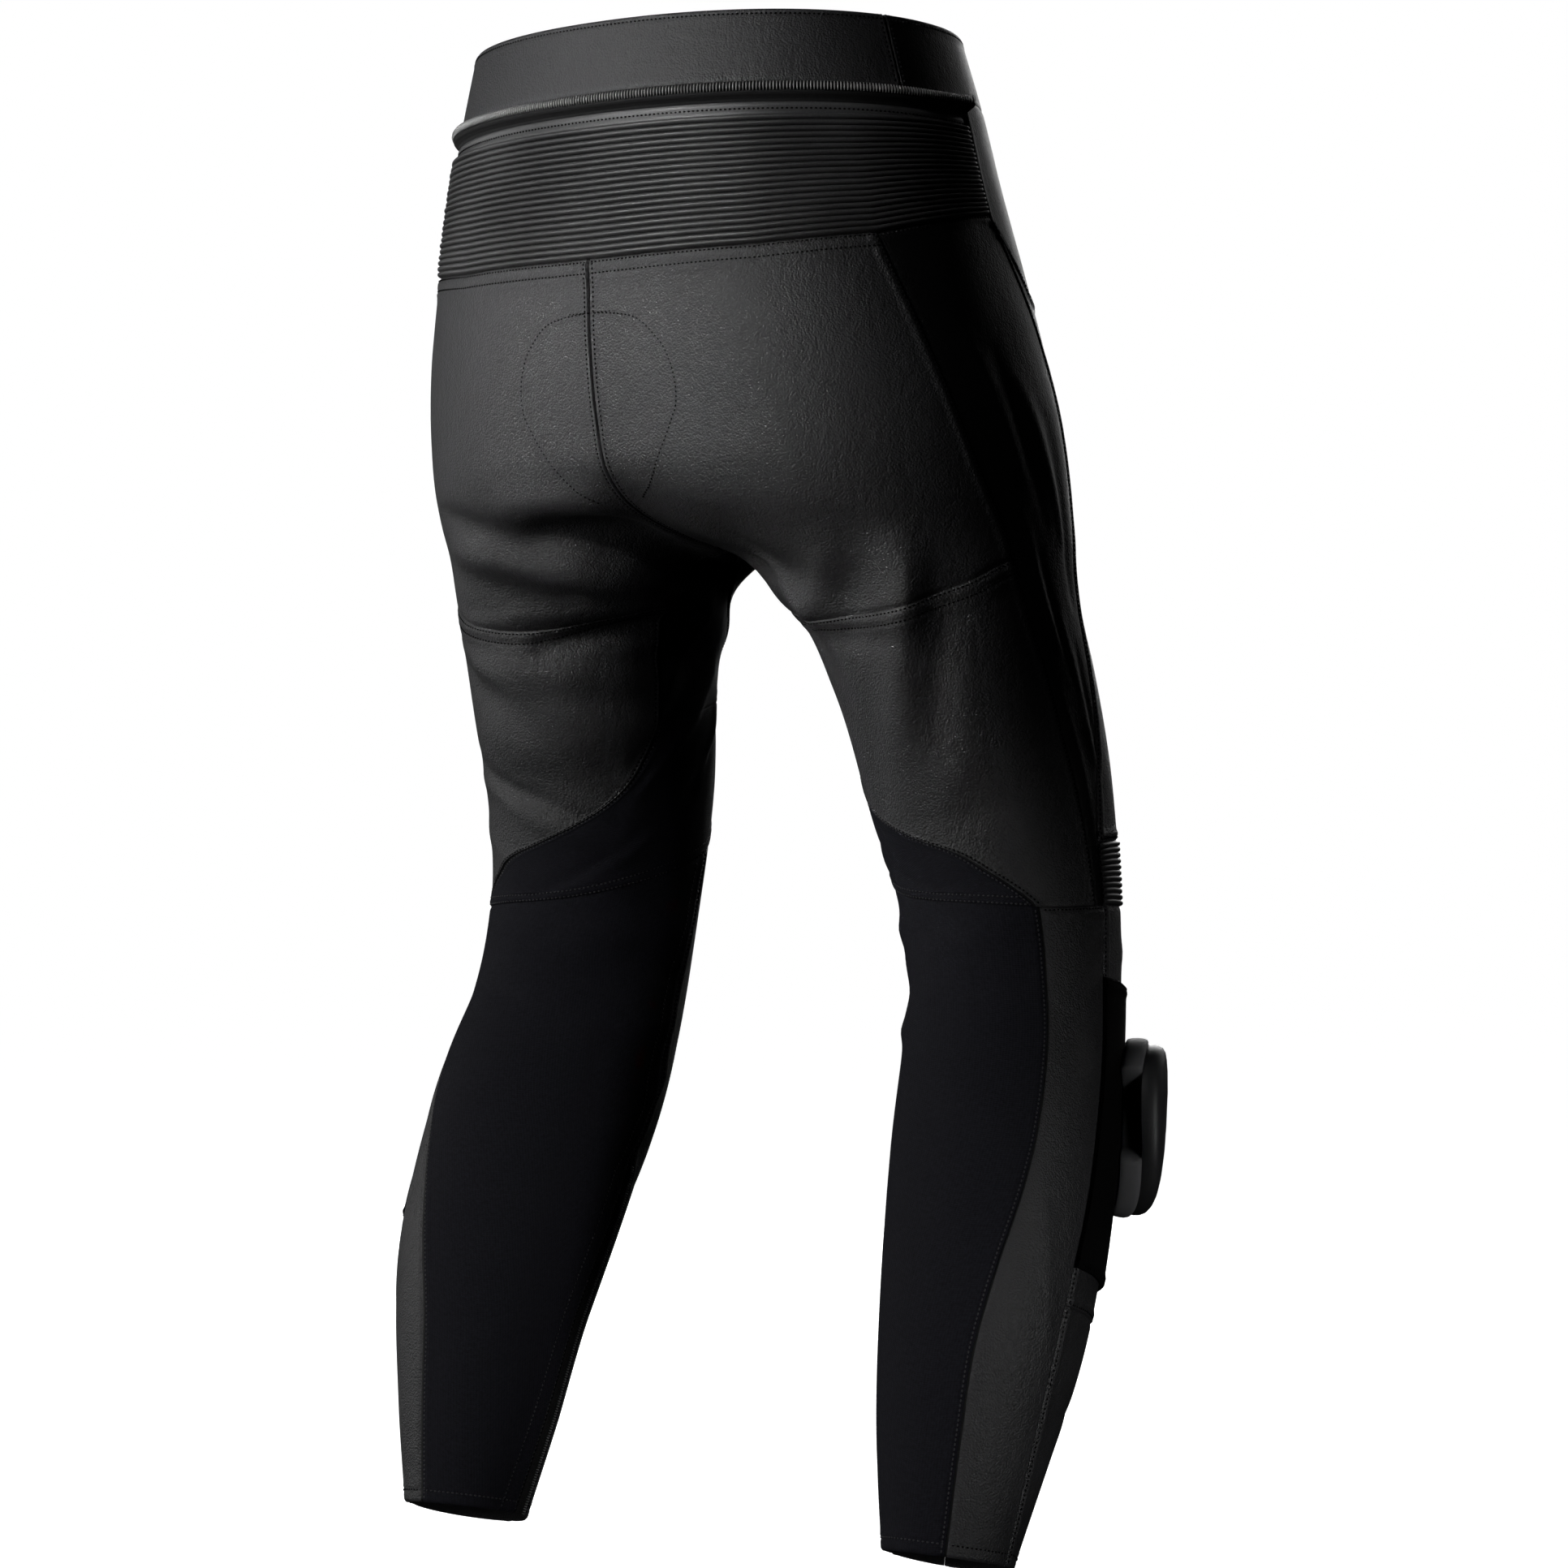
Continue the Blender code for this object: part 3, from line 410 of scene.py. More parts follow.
# %% Sections of the leg
SECTIONS = np.array([
    # height, outer, inner, middle, half_depth, squareness, slant
    (0.000, 0.170, -0.170, -0.008, 0.130, 2.15, 0.00),
    (-0.050, 0.184, -0.184, -0.011, 0.138, 2.15, 0.00),
    (-0.100, 0.195, -0.190, -0.014, 0.142, 2.20, 0.00),
    (-0.150, 0.206, -0.180, -0.016, 0.140, 2.30, -0.02),
    (-0.200, 0.218, -0.150, -0.015, 0.136, 2.30, -0.06),
    (-0.250, 0.227, -0.108, -0.019, 0.131, 2.25, -0.10),
    (-0.285, 0.230, -0.074, -0.024, 0.125, 2.20, -0.12),
    (-0.305, 0.231, -0.045, -0.030, 0.118, 2.15, -0.12),
    (-0.325, 0.231, 0.000, -0.040, 0.108, 2.10, -0.10),
    (-0.345, 0.231, 0.034, -0.048, 0.099, 2.10, -0.06),
    (-0.370, 0.232, 0.056, -0.056, 0.092, 2.10, -0.03),
    (-0.410, 0.234, 0.073, -0.069, 0.087, 2.10, 0.00),
    (-0.480, 0.237, 0.087, -0.087, 0.080, 2.10, 0.00),
    (-0.560, 0.241, 0.106, -0.095, 0.074, 2.10, 0.00),
    (-0.640, 0.248, 0.117, -0.084, 0.074, 2.10, 0.00),
    (-0.730, 0.262, 0.128, -0.052, 0.074, 2.10, 0.00),
    (-0.820, 0.265, 0.139, -0.023, 0.068, 2.10, 0.00),
    (-0.900, 0.252, 0.147, -0.003, 0.056, 2.05, 0.00),
    (-0.980, 0.235, 0.161, 0.014, 0.041, 2.00, 0.00),
])
CROTCH = -0.325
SQUARE_FROM, SQUARE_OVER = -0.36, 0.14
BRIDGE, BRIDGE_SLOPE, BRIDGE_FADE = 0.030, 0.5, 0.05
TWIST, TWIST_FROM, TWIST_OVER = 16.0, -0.60, 0.18
STEP, STEP_ANGLE, STEP_X = 0.0008, 0.3, 0.004


def smooth_curve(points, x):
    """Cubic curve through (position, value) points whose positions rise, level past both ends."""
    at, value = np.array(points, float).T
    slope = np.gradient(value, at)
    x = np.clip(x, at[0], at[-1])
    i = np.clip(np.searchsorted(at, x) - 1, 0, len(at) - 2)
    step = at[i + 1] - at[i]
    t = (x - at[i]) / step
    return ((1 + 2 * t) * (1 - t) ** 2 * value[i] + t * (1 - t) ** 2 * step * slope[i]
            + t * t * (3 - 2 * t) * value[i + 1] - t * t * (1 - t) * step * slope[i + 1])


def soft_step(x):
    """0 below 0, 1 above 1, and x*x*(3 - 2x) between them."""
    x = np.clip(x, 0, 1)
    return x * x * (3 - 2 * x)


def section(height):
    """The loop at a height: centre, half width, middle, half depth, squareness and slant."""
    rows = SECTIONS[::-1]
    outer, inner, middle, depth, square, slant = (
        smooth_curve(rows[:, [0, k]], height) for k in range(1, 7))
    return (outer + inner) / 2, (outer - inner) / 2, middle, depth, square, slant


def loop_point(shape, angle):
    """x = half width * cos^(2/squareness), y = half depth * sin^(2/squareness) + slant * x."""
    _, half, _, depth, square, slant = shape
    c = np.cos(np.radians(angle))
    s = np.sin(np.radians(angle))
    x = np.sign(c) * np.abs(c) ** (2 / square) * half
    y = np.sign(s) * np.abs(s) ** (2 / square) * depth + slant * x
    return x, y


def angle_at_x(x, height, front):
    """Angle at which the loop crosses a distance x from the middle, in front or behind."""
    centre, half, _, _, square, _ = section(height)
    ratio = np.clip((x - centre) / half, -1, 1)
    angle = np.degrees(np.arccos(np.sign(ratio) * np.abs(ratio) ** (square / 2)))
    return -angle if front else angle


def bare_skin(side, angle, height):
    """The skin with no folds, for arrays of side, angle and height."""
    turn = TWIST * soft_step((TWIST_FROM - height) / TWIST_OVER)
    shape = section(height)
    x, y = loop_point(shape, angle + side * turn)
    centre, _, middle, _, _, _ = shape
    for front in (False, True):
        # a soft join at the middle, where the two halves would meet in a crease
        _, y0 = loop_point(shape, angle_at_x(0.0, height, front))
        _, y1 = loop_point(shape, angle_at_x(STEP_X, height, front))
        slope = np.clip(np.abs((y1 - y0) / STEP_X), 0, BRIDGE_SLOPE)
        fade = soft_step((height - CROTCH) / BRIDGE_FADE)
        behind = (np.sin(np.radians(angle)) < 0) if front else (np.sin(np.radians(angle)) >= 0)
        lift = slope * BRIDGE * np.exp(-np.maximum(centre + x, 0) / BRIDGE) * fade * behind
        y = y + (-lift if front else lift)
    above, below = section(height + STEP), section(height - STEP)
    lean_x, lean_y = (above[0] - below[0]) / (2 * STEP), (above[2] - below[2]) / (2 * STEP)
    square_up = soft_step((SQUARE_FROM - height) / SQUARE_OVER)
    z = height - square_up * (lean_x * x + lean_y * y)
    return np.stack([side * (centre + x), middle + y, z + 0 * side], axis=-1)


def outward(side, angle, height):
    """Unit normal of the bare skin: the cross product of a small step down and one round."""
    round_step = (bare_skin(side, angle + STEP_ANGLE, height)
                  - bare_skin(side, angle - STEP_ANGLE, height))
    down_step = bare_skin(side, angle, height - STEP) - bare_skin(side, angle, height + STEP)
    n = np.cross(down_step, round_step) * side[..., None]
    return n / np.linalg.norm(n, axis=-1, keepdims=True)


print("skin sections:", len(SECTIONS))

# %% [markdown]
# ## Cut lines and seams
#
# The pieces are laid out like a pattern maker's draft. Seven cut lines run round the
# trousers and the other seams run down the legs. A row number such as 3.5 is half way
# from cut line 3 to cut line 4.

# %% Cut lines and seams
YOKE_LINE = ((-128, -0.151), (-112, -0.168), (-36, -0.170), (-20, -0.166), (-5, -0.122),
             (31, -0.142), (60, -0.149), (90, -0.151), (220, -0.151))
THIGH_LINE = ((-190, -0.360), (-170, -0.360), (-130, -0.360), (-105, -0.359), (-60, -0.349),
              (-20, -0.342), (20, -0.344), (40, -0.358), (60, -0.368), (100, -0.377), (140, -0.371),
              (165, -0.361), (180, -0.360), (195, -0.360), (250, -0.360))
KNEE_LINE = ((-160, -0.5195), (-145, -0.516), (-115, -0.511), (-85, -0.540), (-55, -0.561),
             (-10, -0.567), (46, -0.569), (80, -0.562), (115, -0.550), (150, -0.535), (185, -0.523),
             (200, -0.5195), (215, -0.516), (245, -0.511), (260, -0.511))
HEM_DIP = 0.004   # the front of each hem hangs lower than its back
# The height of each cut line for an angle, from the top of the waistband down to the hem
CUTS = (
    lambda angle: 0.0 + 0 * angle,
    lambda angle: -0.0465 + 0 * angle,
    lambda angle: -0.0600 + 0 * angle,
    lambda angle: np.interp(angle, *np.array(YOKE_LINE, float).T),
    lambda angle: smooth_curve(THIGH_LINE, angle),
    lambda angle: smooth_curve(KNEE_LINE, angle),
    lambda angle: -0.9670 - HEM_DIP * np.clip(-np.sin(np.radians(angle)), 0, 1) ** 0.7,
)
WAIST, BAND, ZIP, YOKE, THIGH, KNEE, END = range(7)

# Seams that run down a leg, as (height, angle)
SIDE_BACK = ((-0.570, 2), (-0.510, 7), (-0.466, 10), (-0.426, 12), (-0.386, 15), (-0.340, 18),
             (-0.290, 21), (-0.246, 24), (-0.194, 27), (-0.142, 31))
SIDE_FRONT = ((-0.570, -4), (-0.530, -3), (-0.510, -5), (-0.450, -16), (-0.360, -24),
              (-0.280, -23), (-0.190, -17), (-0.156, -11), (-0.122, -5))
KNEE_WEDGE = ((-0.572, 38), (-0.558, 49), (-0.541, 63), (-0.520, 80), (-0.510, 92),
              (-0.497, 108), (-0.486, 123), (-0.477, 134), (-0.465, 146), (-0.450, 155),
              (-0.434, 161), (-0.415, 164), (-0.385, 165), (-0.360, 167), (-0.345, 171),
              (-0.335, 176), (-0.325, 180))
INNER_FRONT = ((-0.980, 245), (-0.600, 245), (-0.500, 240), (-0.420, 234), (-0.380, 224),
               (-0.360, 212), (-0.345, 199), (-0.338, 193), (-0.325, 181.5))
CALF_FRONT = ((-0.980, 8), (-0.900, 18), (-0.854, 21), (-0.790, 18), (-0.728, 10), (-0.656, -1),
              (-0.566, -4))
CALF_OUTER = ((-0.980, 70), (-0.900, 71), (-0.840, 71), (-0.800, 64), (-0.750, 52), (-0.700, 41),
              (-0.650, 35), (-0.610, 35), (-0.572, 38))
CALF_INNER = ((-0.980, 177), (-0.870, 183), (-0.800, 185), (-0.740, 188), (-0.680, 192),
              (-0.610, 197), (-0.550, 204), (-0.500, 208))
BAND_SEAM, HIP_SIDE = 16.0, -5.0
FLY_HALF, FLY_FROM, FLY_END = 0.019, -0.110, -0.255
FLY_ROW = YOKE + 0.3
INSEAM_TIP_ROW, WEDGE_ROW, RIB_ROW = YOKE + 0.8326, THIGH + 0.4, THIGH + 0.84
PANEL_ROW, PAD_TOP_ROW, PAD_END_ROW = KNEE + 11 / 18, KNEE + 2 / 18, KNEE + 10 / 18
ZIP_TOP_ROW, ROW_STEP = KNEE + 8 / 18, 1 / 18
CALF_ZIP_HALF, CALF_ZIP_TIP = 0.006, 0.0012
HALVINGS = 40


def heights_at(rows, angle):
    """Height of each row at its angles: a straight mix of the two cut lines beside it."""
    k = np.minimum(np.floor(rows + 1e-9).astype(int), END - 1)
    lines = np.stack([cut(angle) for cut in CUTS])
    i = np.arange(len(rows))
    upper, lower = lines[k, i], lines[k + 1, i]
    return upper + (lower - upper) * (rows - k)[:, None]


def crossing(rows, seam):
    """Angle where a seam, an angle for each height, crosses each row, by repeated halving."""
    angle = np.zeros(len(rows))
    for _ in range(HALVINGS):
        angle = 0.5 * angle + 0.5 * seam(heights_at(rows, angle[:, None])[:, 0])
    return angle


def seam(points, turn=0.0):
    """A seam as an angle for each height: the smooth curve of its points, plus a turn."""
    return lambda height: smooth_curve(points, height) + turn


def level(angle):
    """A seam that stays at one angle."""
    return lambda height: angle + 0 * height


def fly_half(height):
    """Half the fly's width: full down to FLY_FROM, then a soft step to nothing at FLY_END."""
    return FLY_HALF * (1 - soft_step((FLY_FROM - height) / (FLY_FROM - FLY_END)))


def centre_behind(height):
    """The centre-back seam, and the inseam below the crotch."""
    return np.where(height > CROTCH, angle_at_x(0.0, height, False),
                    smooth_curve(KNEE_WEDGE, height))


def beside(x):
    """A line in front at a distance from the middle, which may change with height."""
    return lambda height: angle_at_x(x(height) if callable(x) else x, height, True)


def front_inner(height):
    """Edge of the front pieces: beside the fly, then down the inside of the leg."""
    return np.where(height > CROTCH, angle_at_x(fly_half(height), height, True),
                    smooth_curve(INNER_FRONT, height) - 360)


def beside_zip(way):
    """The calf's inner seam moved by the zip's half width, for rows and not heights."""
    def angles(rows):
        angle = crossing(rows, seam(CALF_INNER))
        half = np.interp(rows, [ZIP_TOP_ROW - ROW_STEP, ZIP_TOP_ROW, ZIP_TOP_ROW + ROW_STEP],
                         [0.0, CALF_ZIP_TIP, CALF_ZIP_HALF])
        radius = section(heights_at(rows, angle[:, None])[:, 0])[3]
        return angle + np.degrees(way * half / radius)
    angles.by_row = True
    return angles


print("cut lines:", len(CUTS), "and hem heights:",
      CUTS[END](np.array([90.0, -90.0])).round(4).tolist(), "behind and in front")

# %% [markdown]
# ## Folds
#
# Leather that is worn in doesn't ripple like cloth. It breaks into a few soft ridges and
# troughs that run from the crotch and across the backs of the thighs and knees. Each one
# is a bell across its own line that dies away at both ends. The first rows are in the
# packed walls too. The rest are finer creases, placed one by one and uneven from leg to leg.

# %% Fold tables
FOLD_REACH, FOLD_CLEAR, FOLD_ENDS = 0.085, 0.025, (0.15, 0.70)
LARGE_FOLDS = (
    # side, from angle, from height, to angle, to height, width, height
    (1, 165, -0.318, 95, -0.328, 0.014, -0.0070),
    (1, 185, -0.352, 70, -0.338, 0.016, 0.0055),
    (1, 190, -0.400, 110, -0.392, 0.018, -0.0050),
    (1, 200, -0.440, 90, -0.418, 0.018, 0.0040),
    (1, 160, -0.455, 70, -0.470, 0.020, -0.0025),
    (-1, 160, -0.330, 105, -0.350, 0.013, -0.0050),
    (-1, 165, -0.352, 95, -0.378, 0.013, 0.0050),
    (-1, 75, -0.350, 92, -0.480, 0.018, 0.0035),
    (-1, 120, -0.385, 112, -0.470, 0.016, -0.0030),
    (0, 110, -0.600, 60, -0.590, 0.014, 0.0030),
    (0, 190, -0.565, 120, -0.580, 0.014, 0.0035),
    (0, 160, -0.620, 100, -0.615, 0.014, -0.0030),
    (0, -150, -0.350, -60, -0.330, 0.016, -0.0045),
    (0, -160, -0.375, -85, -0.372, 0.016, 0.0035),
    (0, -165, -0.300, -100, -0.285, 0.015, 0.0035),
)
CREASES = (
    # side, from angle, from height, to angle, to height, width, height
    # the left seat breaks over the thigh: a lip, a deep trough under it, and two ridges
    (1, 90, -0.300, 176, -0.314, 0.010, 0.0055),
    (1, 104, -0.318, 190, -0.344, 0.011, -0.0130),
    (1, 52, -0.300, 104, -0.330, 0.008, -0.0050),
    (1, 62, -0.322, 160, -0.352, 0.010, 0.0055),
    (1, 50, -0.336, 118, -0.356, 0.009, -0.0030),
    (1, 108, -0.386, 178, -0.368, 0.007, -0.0075),
    (1, 60, -0.372, 150, -0.364, 0.007, 0.0022),
    (1, 70, -0.396, 172, -0.404, 0.010, 0.0045),
    (1, 44, -0.380, 96, -0.412, 0.006, 0.0014),
    (1, 52, -0.398, 110, -0.430, 0.010, -0.0022),
    (1, 44, -0.452, 134, -0.492, 0.0065, -0.0026),
    (1, 50, -0.466, 120, -0.500, 0.009, 0.0020),
    (1, 60, -0.430, 120, -0.452, 0.012, 0.0016),
    (1, 30, -0.500, 80, -0.530, 0.009, 0.0014),
    # long creases where the inner stretch cloth pulls from the crotch
    (0, 206, -0.400, 155, -0.468, 0.0045, 0.0022),
    (0, 196, -0.392, 150, -0.452, 0.0055, -0.0024),
    (0, 190, -0.362, 168, -0.412, 0.0050, 0.0018),
    (0, 214, -0.415, 190, -0.472, 0.0050, 0.0020),
    (0, 216, -0.440, 170, -0.490, 0.0060, -0.0018),
    (0, 180, -0.480, 110, -0.545, 0.006, 0.0011),
    (0, 150, -0.500, 90, -0.556, 0.005, -0.0010),
    # the right seat and thigh: ridges that run down from the seat
    (-1, 110, -0.318, 134, -0.356, 0.010, -0.0040),
    (-1, 128, -0.330, 118, -0.372, 0.008, 0.0042),
    (-1, 70, -0.328, 100, -0.384, 0.011, -0.0052),
    (-1, 56, -0.336, 72, -0.384, 0.009, 0.0048),
    (-1, 70, -0.376, 92, -0.446, 0.011, 0.0030),
    (-1, 84, -0.340, 122, -0.378, 0.008, 0.0036),
    (-1, 134, -0.368, 128, -0.410, 0.008, -0.0032),
    (-1, 118, -0.382, 78, -0.392, 0.007, -0.0022),
    (-1, 45, -0.345, 74, -0.445, 0.013, -0.0028),
    (-1, 110, -0.400, 120, -0.460, 0.012, 0.0018),
    (-1, 60, -0.450, 84, -0.500, 0.012, 0.0012),
    (-1, 48, -0.500, 100, -0.490, 0.010, -0.0010),
    # fine lengthwise wrinkles of the dark side panels
    (0, 14, -0.200, 6, -0.290, 0.0040, 0.0012),
    (0, 6, -0.210, 0, -0.320, 0.0035, -0.0014),
    (0, 0, -0.230, -10, -0.330, 0.0035, 0.0016),
    (0, -8, -0.250, -16, -0.370, 0.0040, -0.0014),
    (0, 12, -0.300, 2, -0.400, 0.0040, 0.0013),
    (0, 4, -0.340, -6, -0.450, 0.0035, -0.0013),
    (0, -2, -0.380, -8, -0.480, 0.0040, 0.0014),
    (0, -10, -0.400, -12, -0.500, 0.0035, -0.0012),
    (0, 6, -0.430, 0, -0.530, 0.0040, 0.0010),
    # behind the knees and down the calves
    (0, 195, -0.600, 140, -0.588, 0.006, -0.0018),
    (0, 150, -0.578, 80, -0.590, 0.006, -0.0014),
    (0, 196, -0.628, 130, -0.652, 0.009, 0.0026),
    (0, 205, -0.650, 165, -0.704, 0.008, 0.0032),
    (0, 208, -0.690, 172, -0.735, 0.008, -0.0028),
    (0, 100, -0.640, 60, -0.630, 0.007, -0.0012),
    (0, 130, -0.610, 60, -0.622, 0.008, 0.0014),
    (0, 100, -0.700, 60, -0.724, 0.012, 0.0014),
    (0, 120, -0.780, 78, -0.806, 0.012, -0.0012),
    (0, 45, -0.750, 30, -0.830, 0.008, 0.0011),
    (0, 130, -0.860, 90, -0.880, 0.010, 0.0010),
    # fronts of the hips, thighs and shins
    (0, -30, -0.590, -100, -0.600, 0.006, 0.0013),
    (0, -40, -0.610, -110, -0.625, 0.006, -0.0013),
    (0, -60, -0.800, -110, -0.815, 0.006, 0.0014),
    (0, -50, -0.830, -115, -0.850, 0.006, -0.0012),
    (0, -8, -0.855, -34, -0.880, 0.005, -0.0016),
    (0, -90, -0.210, -50, -0.300, 0.008, 0.0014),
    (0, -110, -0.230, -70, -0.320, 0.007, -0.0018),
    (0, -130, -0.270, -80, -0.350, 0.007, 0.0018),
    (1, -60, -0.380, -120, -0.400, 0.009, 0.0016),
    (-1, -55, -0.400, -115, -0.390, 0.009, 0.0017),
    (1, -80, -0.440, -130, -0.450, 0.008, -0.0014),
    (-1, -70, -0.430, -140, -0.440, 0.008, -0.0014),
)


def fold_height(side, angle, height):
    """Sum of the folds: size * sin(pi * along) * exp(-(away / width)^2) for each line."""
    total = np.zeros(angle.shape)
    for leg, a0, h0, a1, h1, width, size in LARGE_FOLDS + CREASES:
        across = (angle - a0 + 180) % 360 - 180
        u, v = np.radians(across) * FOLD_REACH, height - h0
        du, dv = np.radians(a1 - a0) * FOLD_REACH, h1 - h0
        along = np.clip((u * du + v * dv) / (du * du + dv * dv), 0, 1)
        away = np.hypot(u - along * du, v - along * dv)
        taper = np.sin(np.pi * (FOLD_ENDS[0] + FOLD_ENDS[1] * along))
        total = total + size * taper * np.exp(-(away / width) ** 2) * ((leg == 0) | (side == leg))
    return total


def worn_skin(side, angle, height):
    """The skin with its folds, and its outward direction."""
    base = bare_skin(side, angle, height)
    out = outward(side, angle, height)
    folds = fold_height(side, angle, height) * soft_step(np.abs(base[..., 0]) / FOLD_CLEAR)
    return base + out * folds[..., None], out


print("folds:", len(LARGE_FOLDS), "large and", len(CREASES), "fine")

# %% [markdown]
# ## Edges, as they are sewn
#
# Where two leather pieces meet, one edge is turned over and topstitched, so it stands a
# little proud, and the edge under it dips. A seam between equals rolls both edges in. The
# stitches pull a shallow groove. Each kind of edge is a small profile across the seam.

# %% Kinds of edge
EDGES = {
    # name: (stands up, over, drops at the edge, over, stitch rows at)
    "plain": (0.0, 0.004, 0.0004, 0.0008, ()),
    "under": (0.0, 0.004, 0.0008, 0.0020, ()),
    "over": (0.0008, 0.0060, 0.0012, 0.0010, (0.0022,)),
    "over_twice": (0.0008, 0.0115, 0.0012, 0.0010, (0.0020, 0.0092)),
    "rolled": (0.0007, 0.0042, 0.0015, 0.0007, (0.0034,)),
    "piped": (0.0004, 0.0060, 0.0026, 0.0016, (0.0034,)),
    "over_zip": (0.0008, 0.0060, 0.0012, 0.0010, (0.0022, 0.0150)),
    "hem": (0.0003, 0.0100, 0.0006, 0.0010, (0.0080,)),
    "fold": (0.0004, 0.0050, 0.0008, 0.0012, (0.0032,)),
    "ribs_top": (0.0, 0.004, 0.0006, 0.0012, (0.0042,)),
}
GROOVE, GROOVE_WIDTH, PLATEAU_END = 0.00075, 0.0011, 0.35
EDGE_STEPS = np.array([0, 0.5, 1.1, 1.8, 2.6, 3.5, 4.8, 6.6, 8.6, 10.6, 12.6]) * 0.001
EDGE_SHARE, ROW_SAMPLES = 0.3, 900
SPACING = 0.0040


def edge_relief(kind, away):
    """Height beside an edge: a plateau, less a rounded drop at the edge, less each groove."""
    up, reach, drop, roll, rows = EDGES[kind]
    height = up * (1 - soft_step((away - reach) / (PLATEAU_END * reach)))
    height = height - (drop + up) * np.exp(-(away / roll) ** 2)
    for row in rows:
        height = height - GROOVE * np.exp(-((away - row) / GROOVE_WIDTH) ** 2)
    return height


def fine_rows(start, end, angle):
    """Row numbers from start to end: the edge steps at both ends, even steps between."""
    t = np.linspace(start, end, ROW_SAMPLES)
    drop = np.abs(np.diff(heights_at(t, np.full((len(t), 1), float(angle)))[:, 0]))
    along = np.append(0.0, np.cumsum(drop))
    near = EDGE_STEPS[EDGE_STEPS < EDGE_SHARE * along[-1]]
    count = max(2, int(np.ceil((along[-1] - 2 * near[-1]) / SPACING)) + 1)
    middle = np.linspace(near[-1], along[-1] - near[-1], count)[1:-1]
    return np.interp(np.concatenate([near, middle, along[-1] - near[::-1]]), along, t)


def fine_shares(width):
    """Shares of each row's width: the edge steps from both ends, even steps between."""
    reach = np.minimum(EDGE_STEPS[-1], EDGE_SHARE * width) / width
    near = EDGE_STEPS / EDGE_STEPS[-1] * reach[:, None]
    count = max(3, int(np.ceil((width.max() - 2 * EDGE_STEPS[-1]) / SPACING)))
    even = np.linspace(0, 1, count + 1)[1:-1]
    middle = near[:, -1:] + (1 - 2 * near[:, -1:]) * even
    return np.concatenate([near, middle, 1 - near[:, ::-1]], axis=1)


print("kinds of edge:", ", ".join(EDGES))

# %% [markdown]
# ## One cloth piece
#
# A piece is a grid of angles and heights between two seams. Its outer face is the worn
# skin moved out by the relief of its four edges, and its inner face is the same skin one
# cloth thickness further in. A closed shell shades better at its cut edges than a single
# sheet would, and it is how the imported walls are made. The piece also keeps its own map
# in metres, for the weave, and how near each point is to an edge, for the wear.

# %% Shell builder
LEATHER, STRETCH = 0.0020, 0.0016
SEAM_GAP, LEAST_WIDTH, MOST_PULL, ROUGH_COLUMNS = 0.00024, 1e-4, 0.2, 13
WEAR_AT, WEAR_WIDTH = 0.0015, 0.0013
CLOTH_SHARP = 50
CUT_SLACK = 1.02   # a flat cut holds at least the piece's area and two percent
made = {}


def angles_of(rows, line):
    """A line's angle on each row; beside_zip gives it itself, other seams are crossed."""
    return line(rows) if getattr(line, "by_row", False) else crossing(rows, line)


def lay_out(rows, left, right, side):
    """Angles and heights of a piece's grid between two seams, drawn in by half the gap."""
    a, b = angles_of(rows, left)[:, None], angles_of(rows, right)[:, None]
    rough = a + (b - a) * np.linspace(0, 1, ROUGH_COLUMNS)
    spots = bare_skin(np.full(rough.shape, side), rough, heights_at(rows, rough))
    width = np.linalg.norm(np.diff(spots, axis=1), axis=-1).sum(axis=1)
    width = np.maximum(width, LEAST_WIDTH)
    pull = np.minimum(0.5 * SEAM_GAP / width, MOST_PULL)[:, None]
    shares = fine_shares(width) * (1 - 2 * pull) + pull
    angle = a + (b - a) * shares
    return angle, heights_at(rows, angle)


def distances(points):
    """Metres to each point from the left, right, top and bottom edge, along the grid."""
    across = np.linalg.norm(np.diff(points, axis=1), axis=-1)
    down = np.linalg.norm(np.diff(points, axis=0), axis=-1)
    left = np.pad(np.cumsum(across, axis=1), ((0, 0), (1, 0)))
    top = np.pad(np.cumsum(down, axis=0), ((1, 0), (0, 0)))
    return {"l": left, "r": left[:, -1:] - left, "t": top, "b": top[-1:] - top}


def shell_faces(n, m):
    """Quads of an outer grid, an inner grid turned round, and the rim between them."""
    at = np.arange(n * m).reshape(n, m)
    inner = at + n * m

    def cells(g):
        return np.stack([g[:-1, :-1], g[1:, :-1], g[1:, 1:], g[:-1, 1:]], -1).reshape(-1, 4)

    def rim(a, b):
        return np.stack([a[:-1], b[:-1], b[1:], a[1:]], -1)

    return np.concatenate([cells(at), rim(at[:, 0], inner[:, 0]),
                           rim(at[:, -1], inner[:, -1])[:, ::-1],
                           rim(at[0], inner[0])[:, ::-1], rim(at[-1], inner[-1]),
                           cells(inner)[:, ::-1]]), (n - 1) * (m - 1)


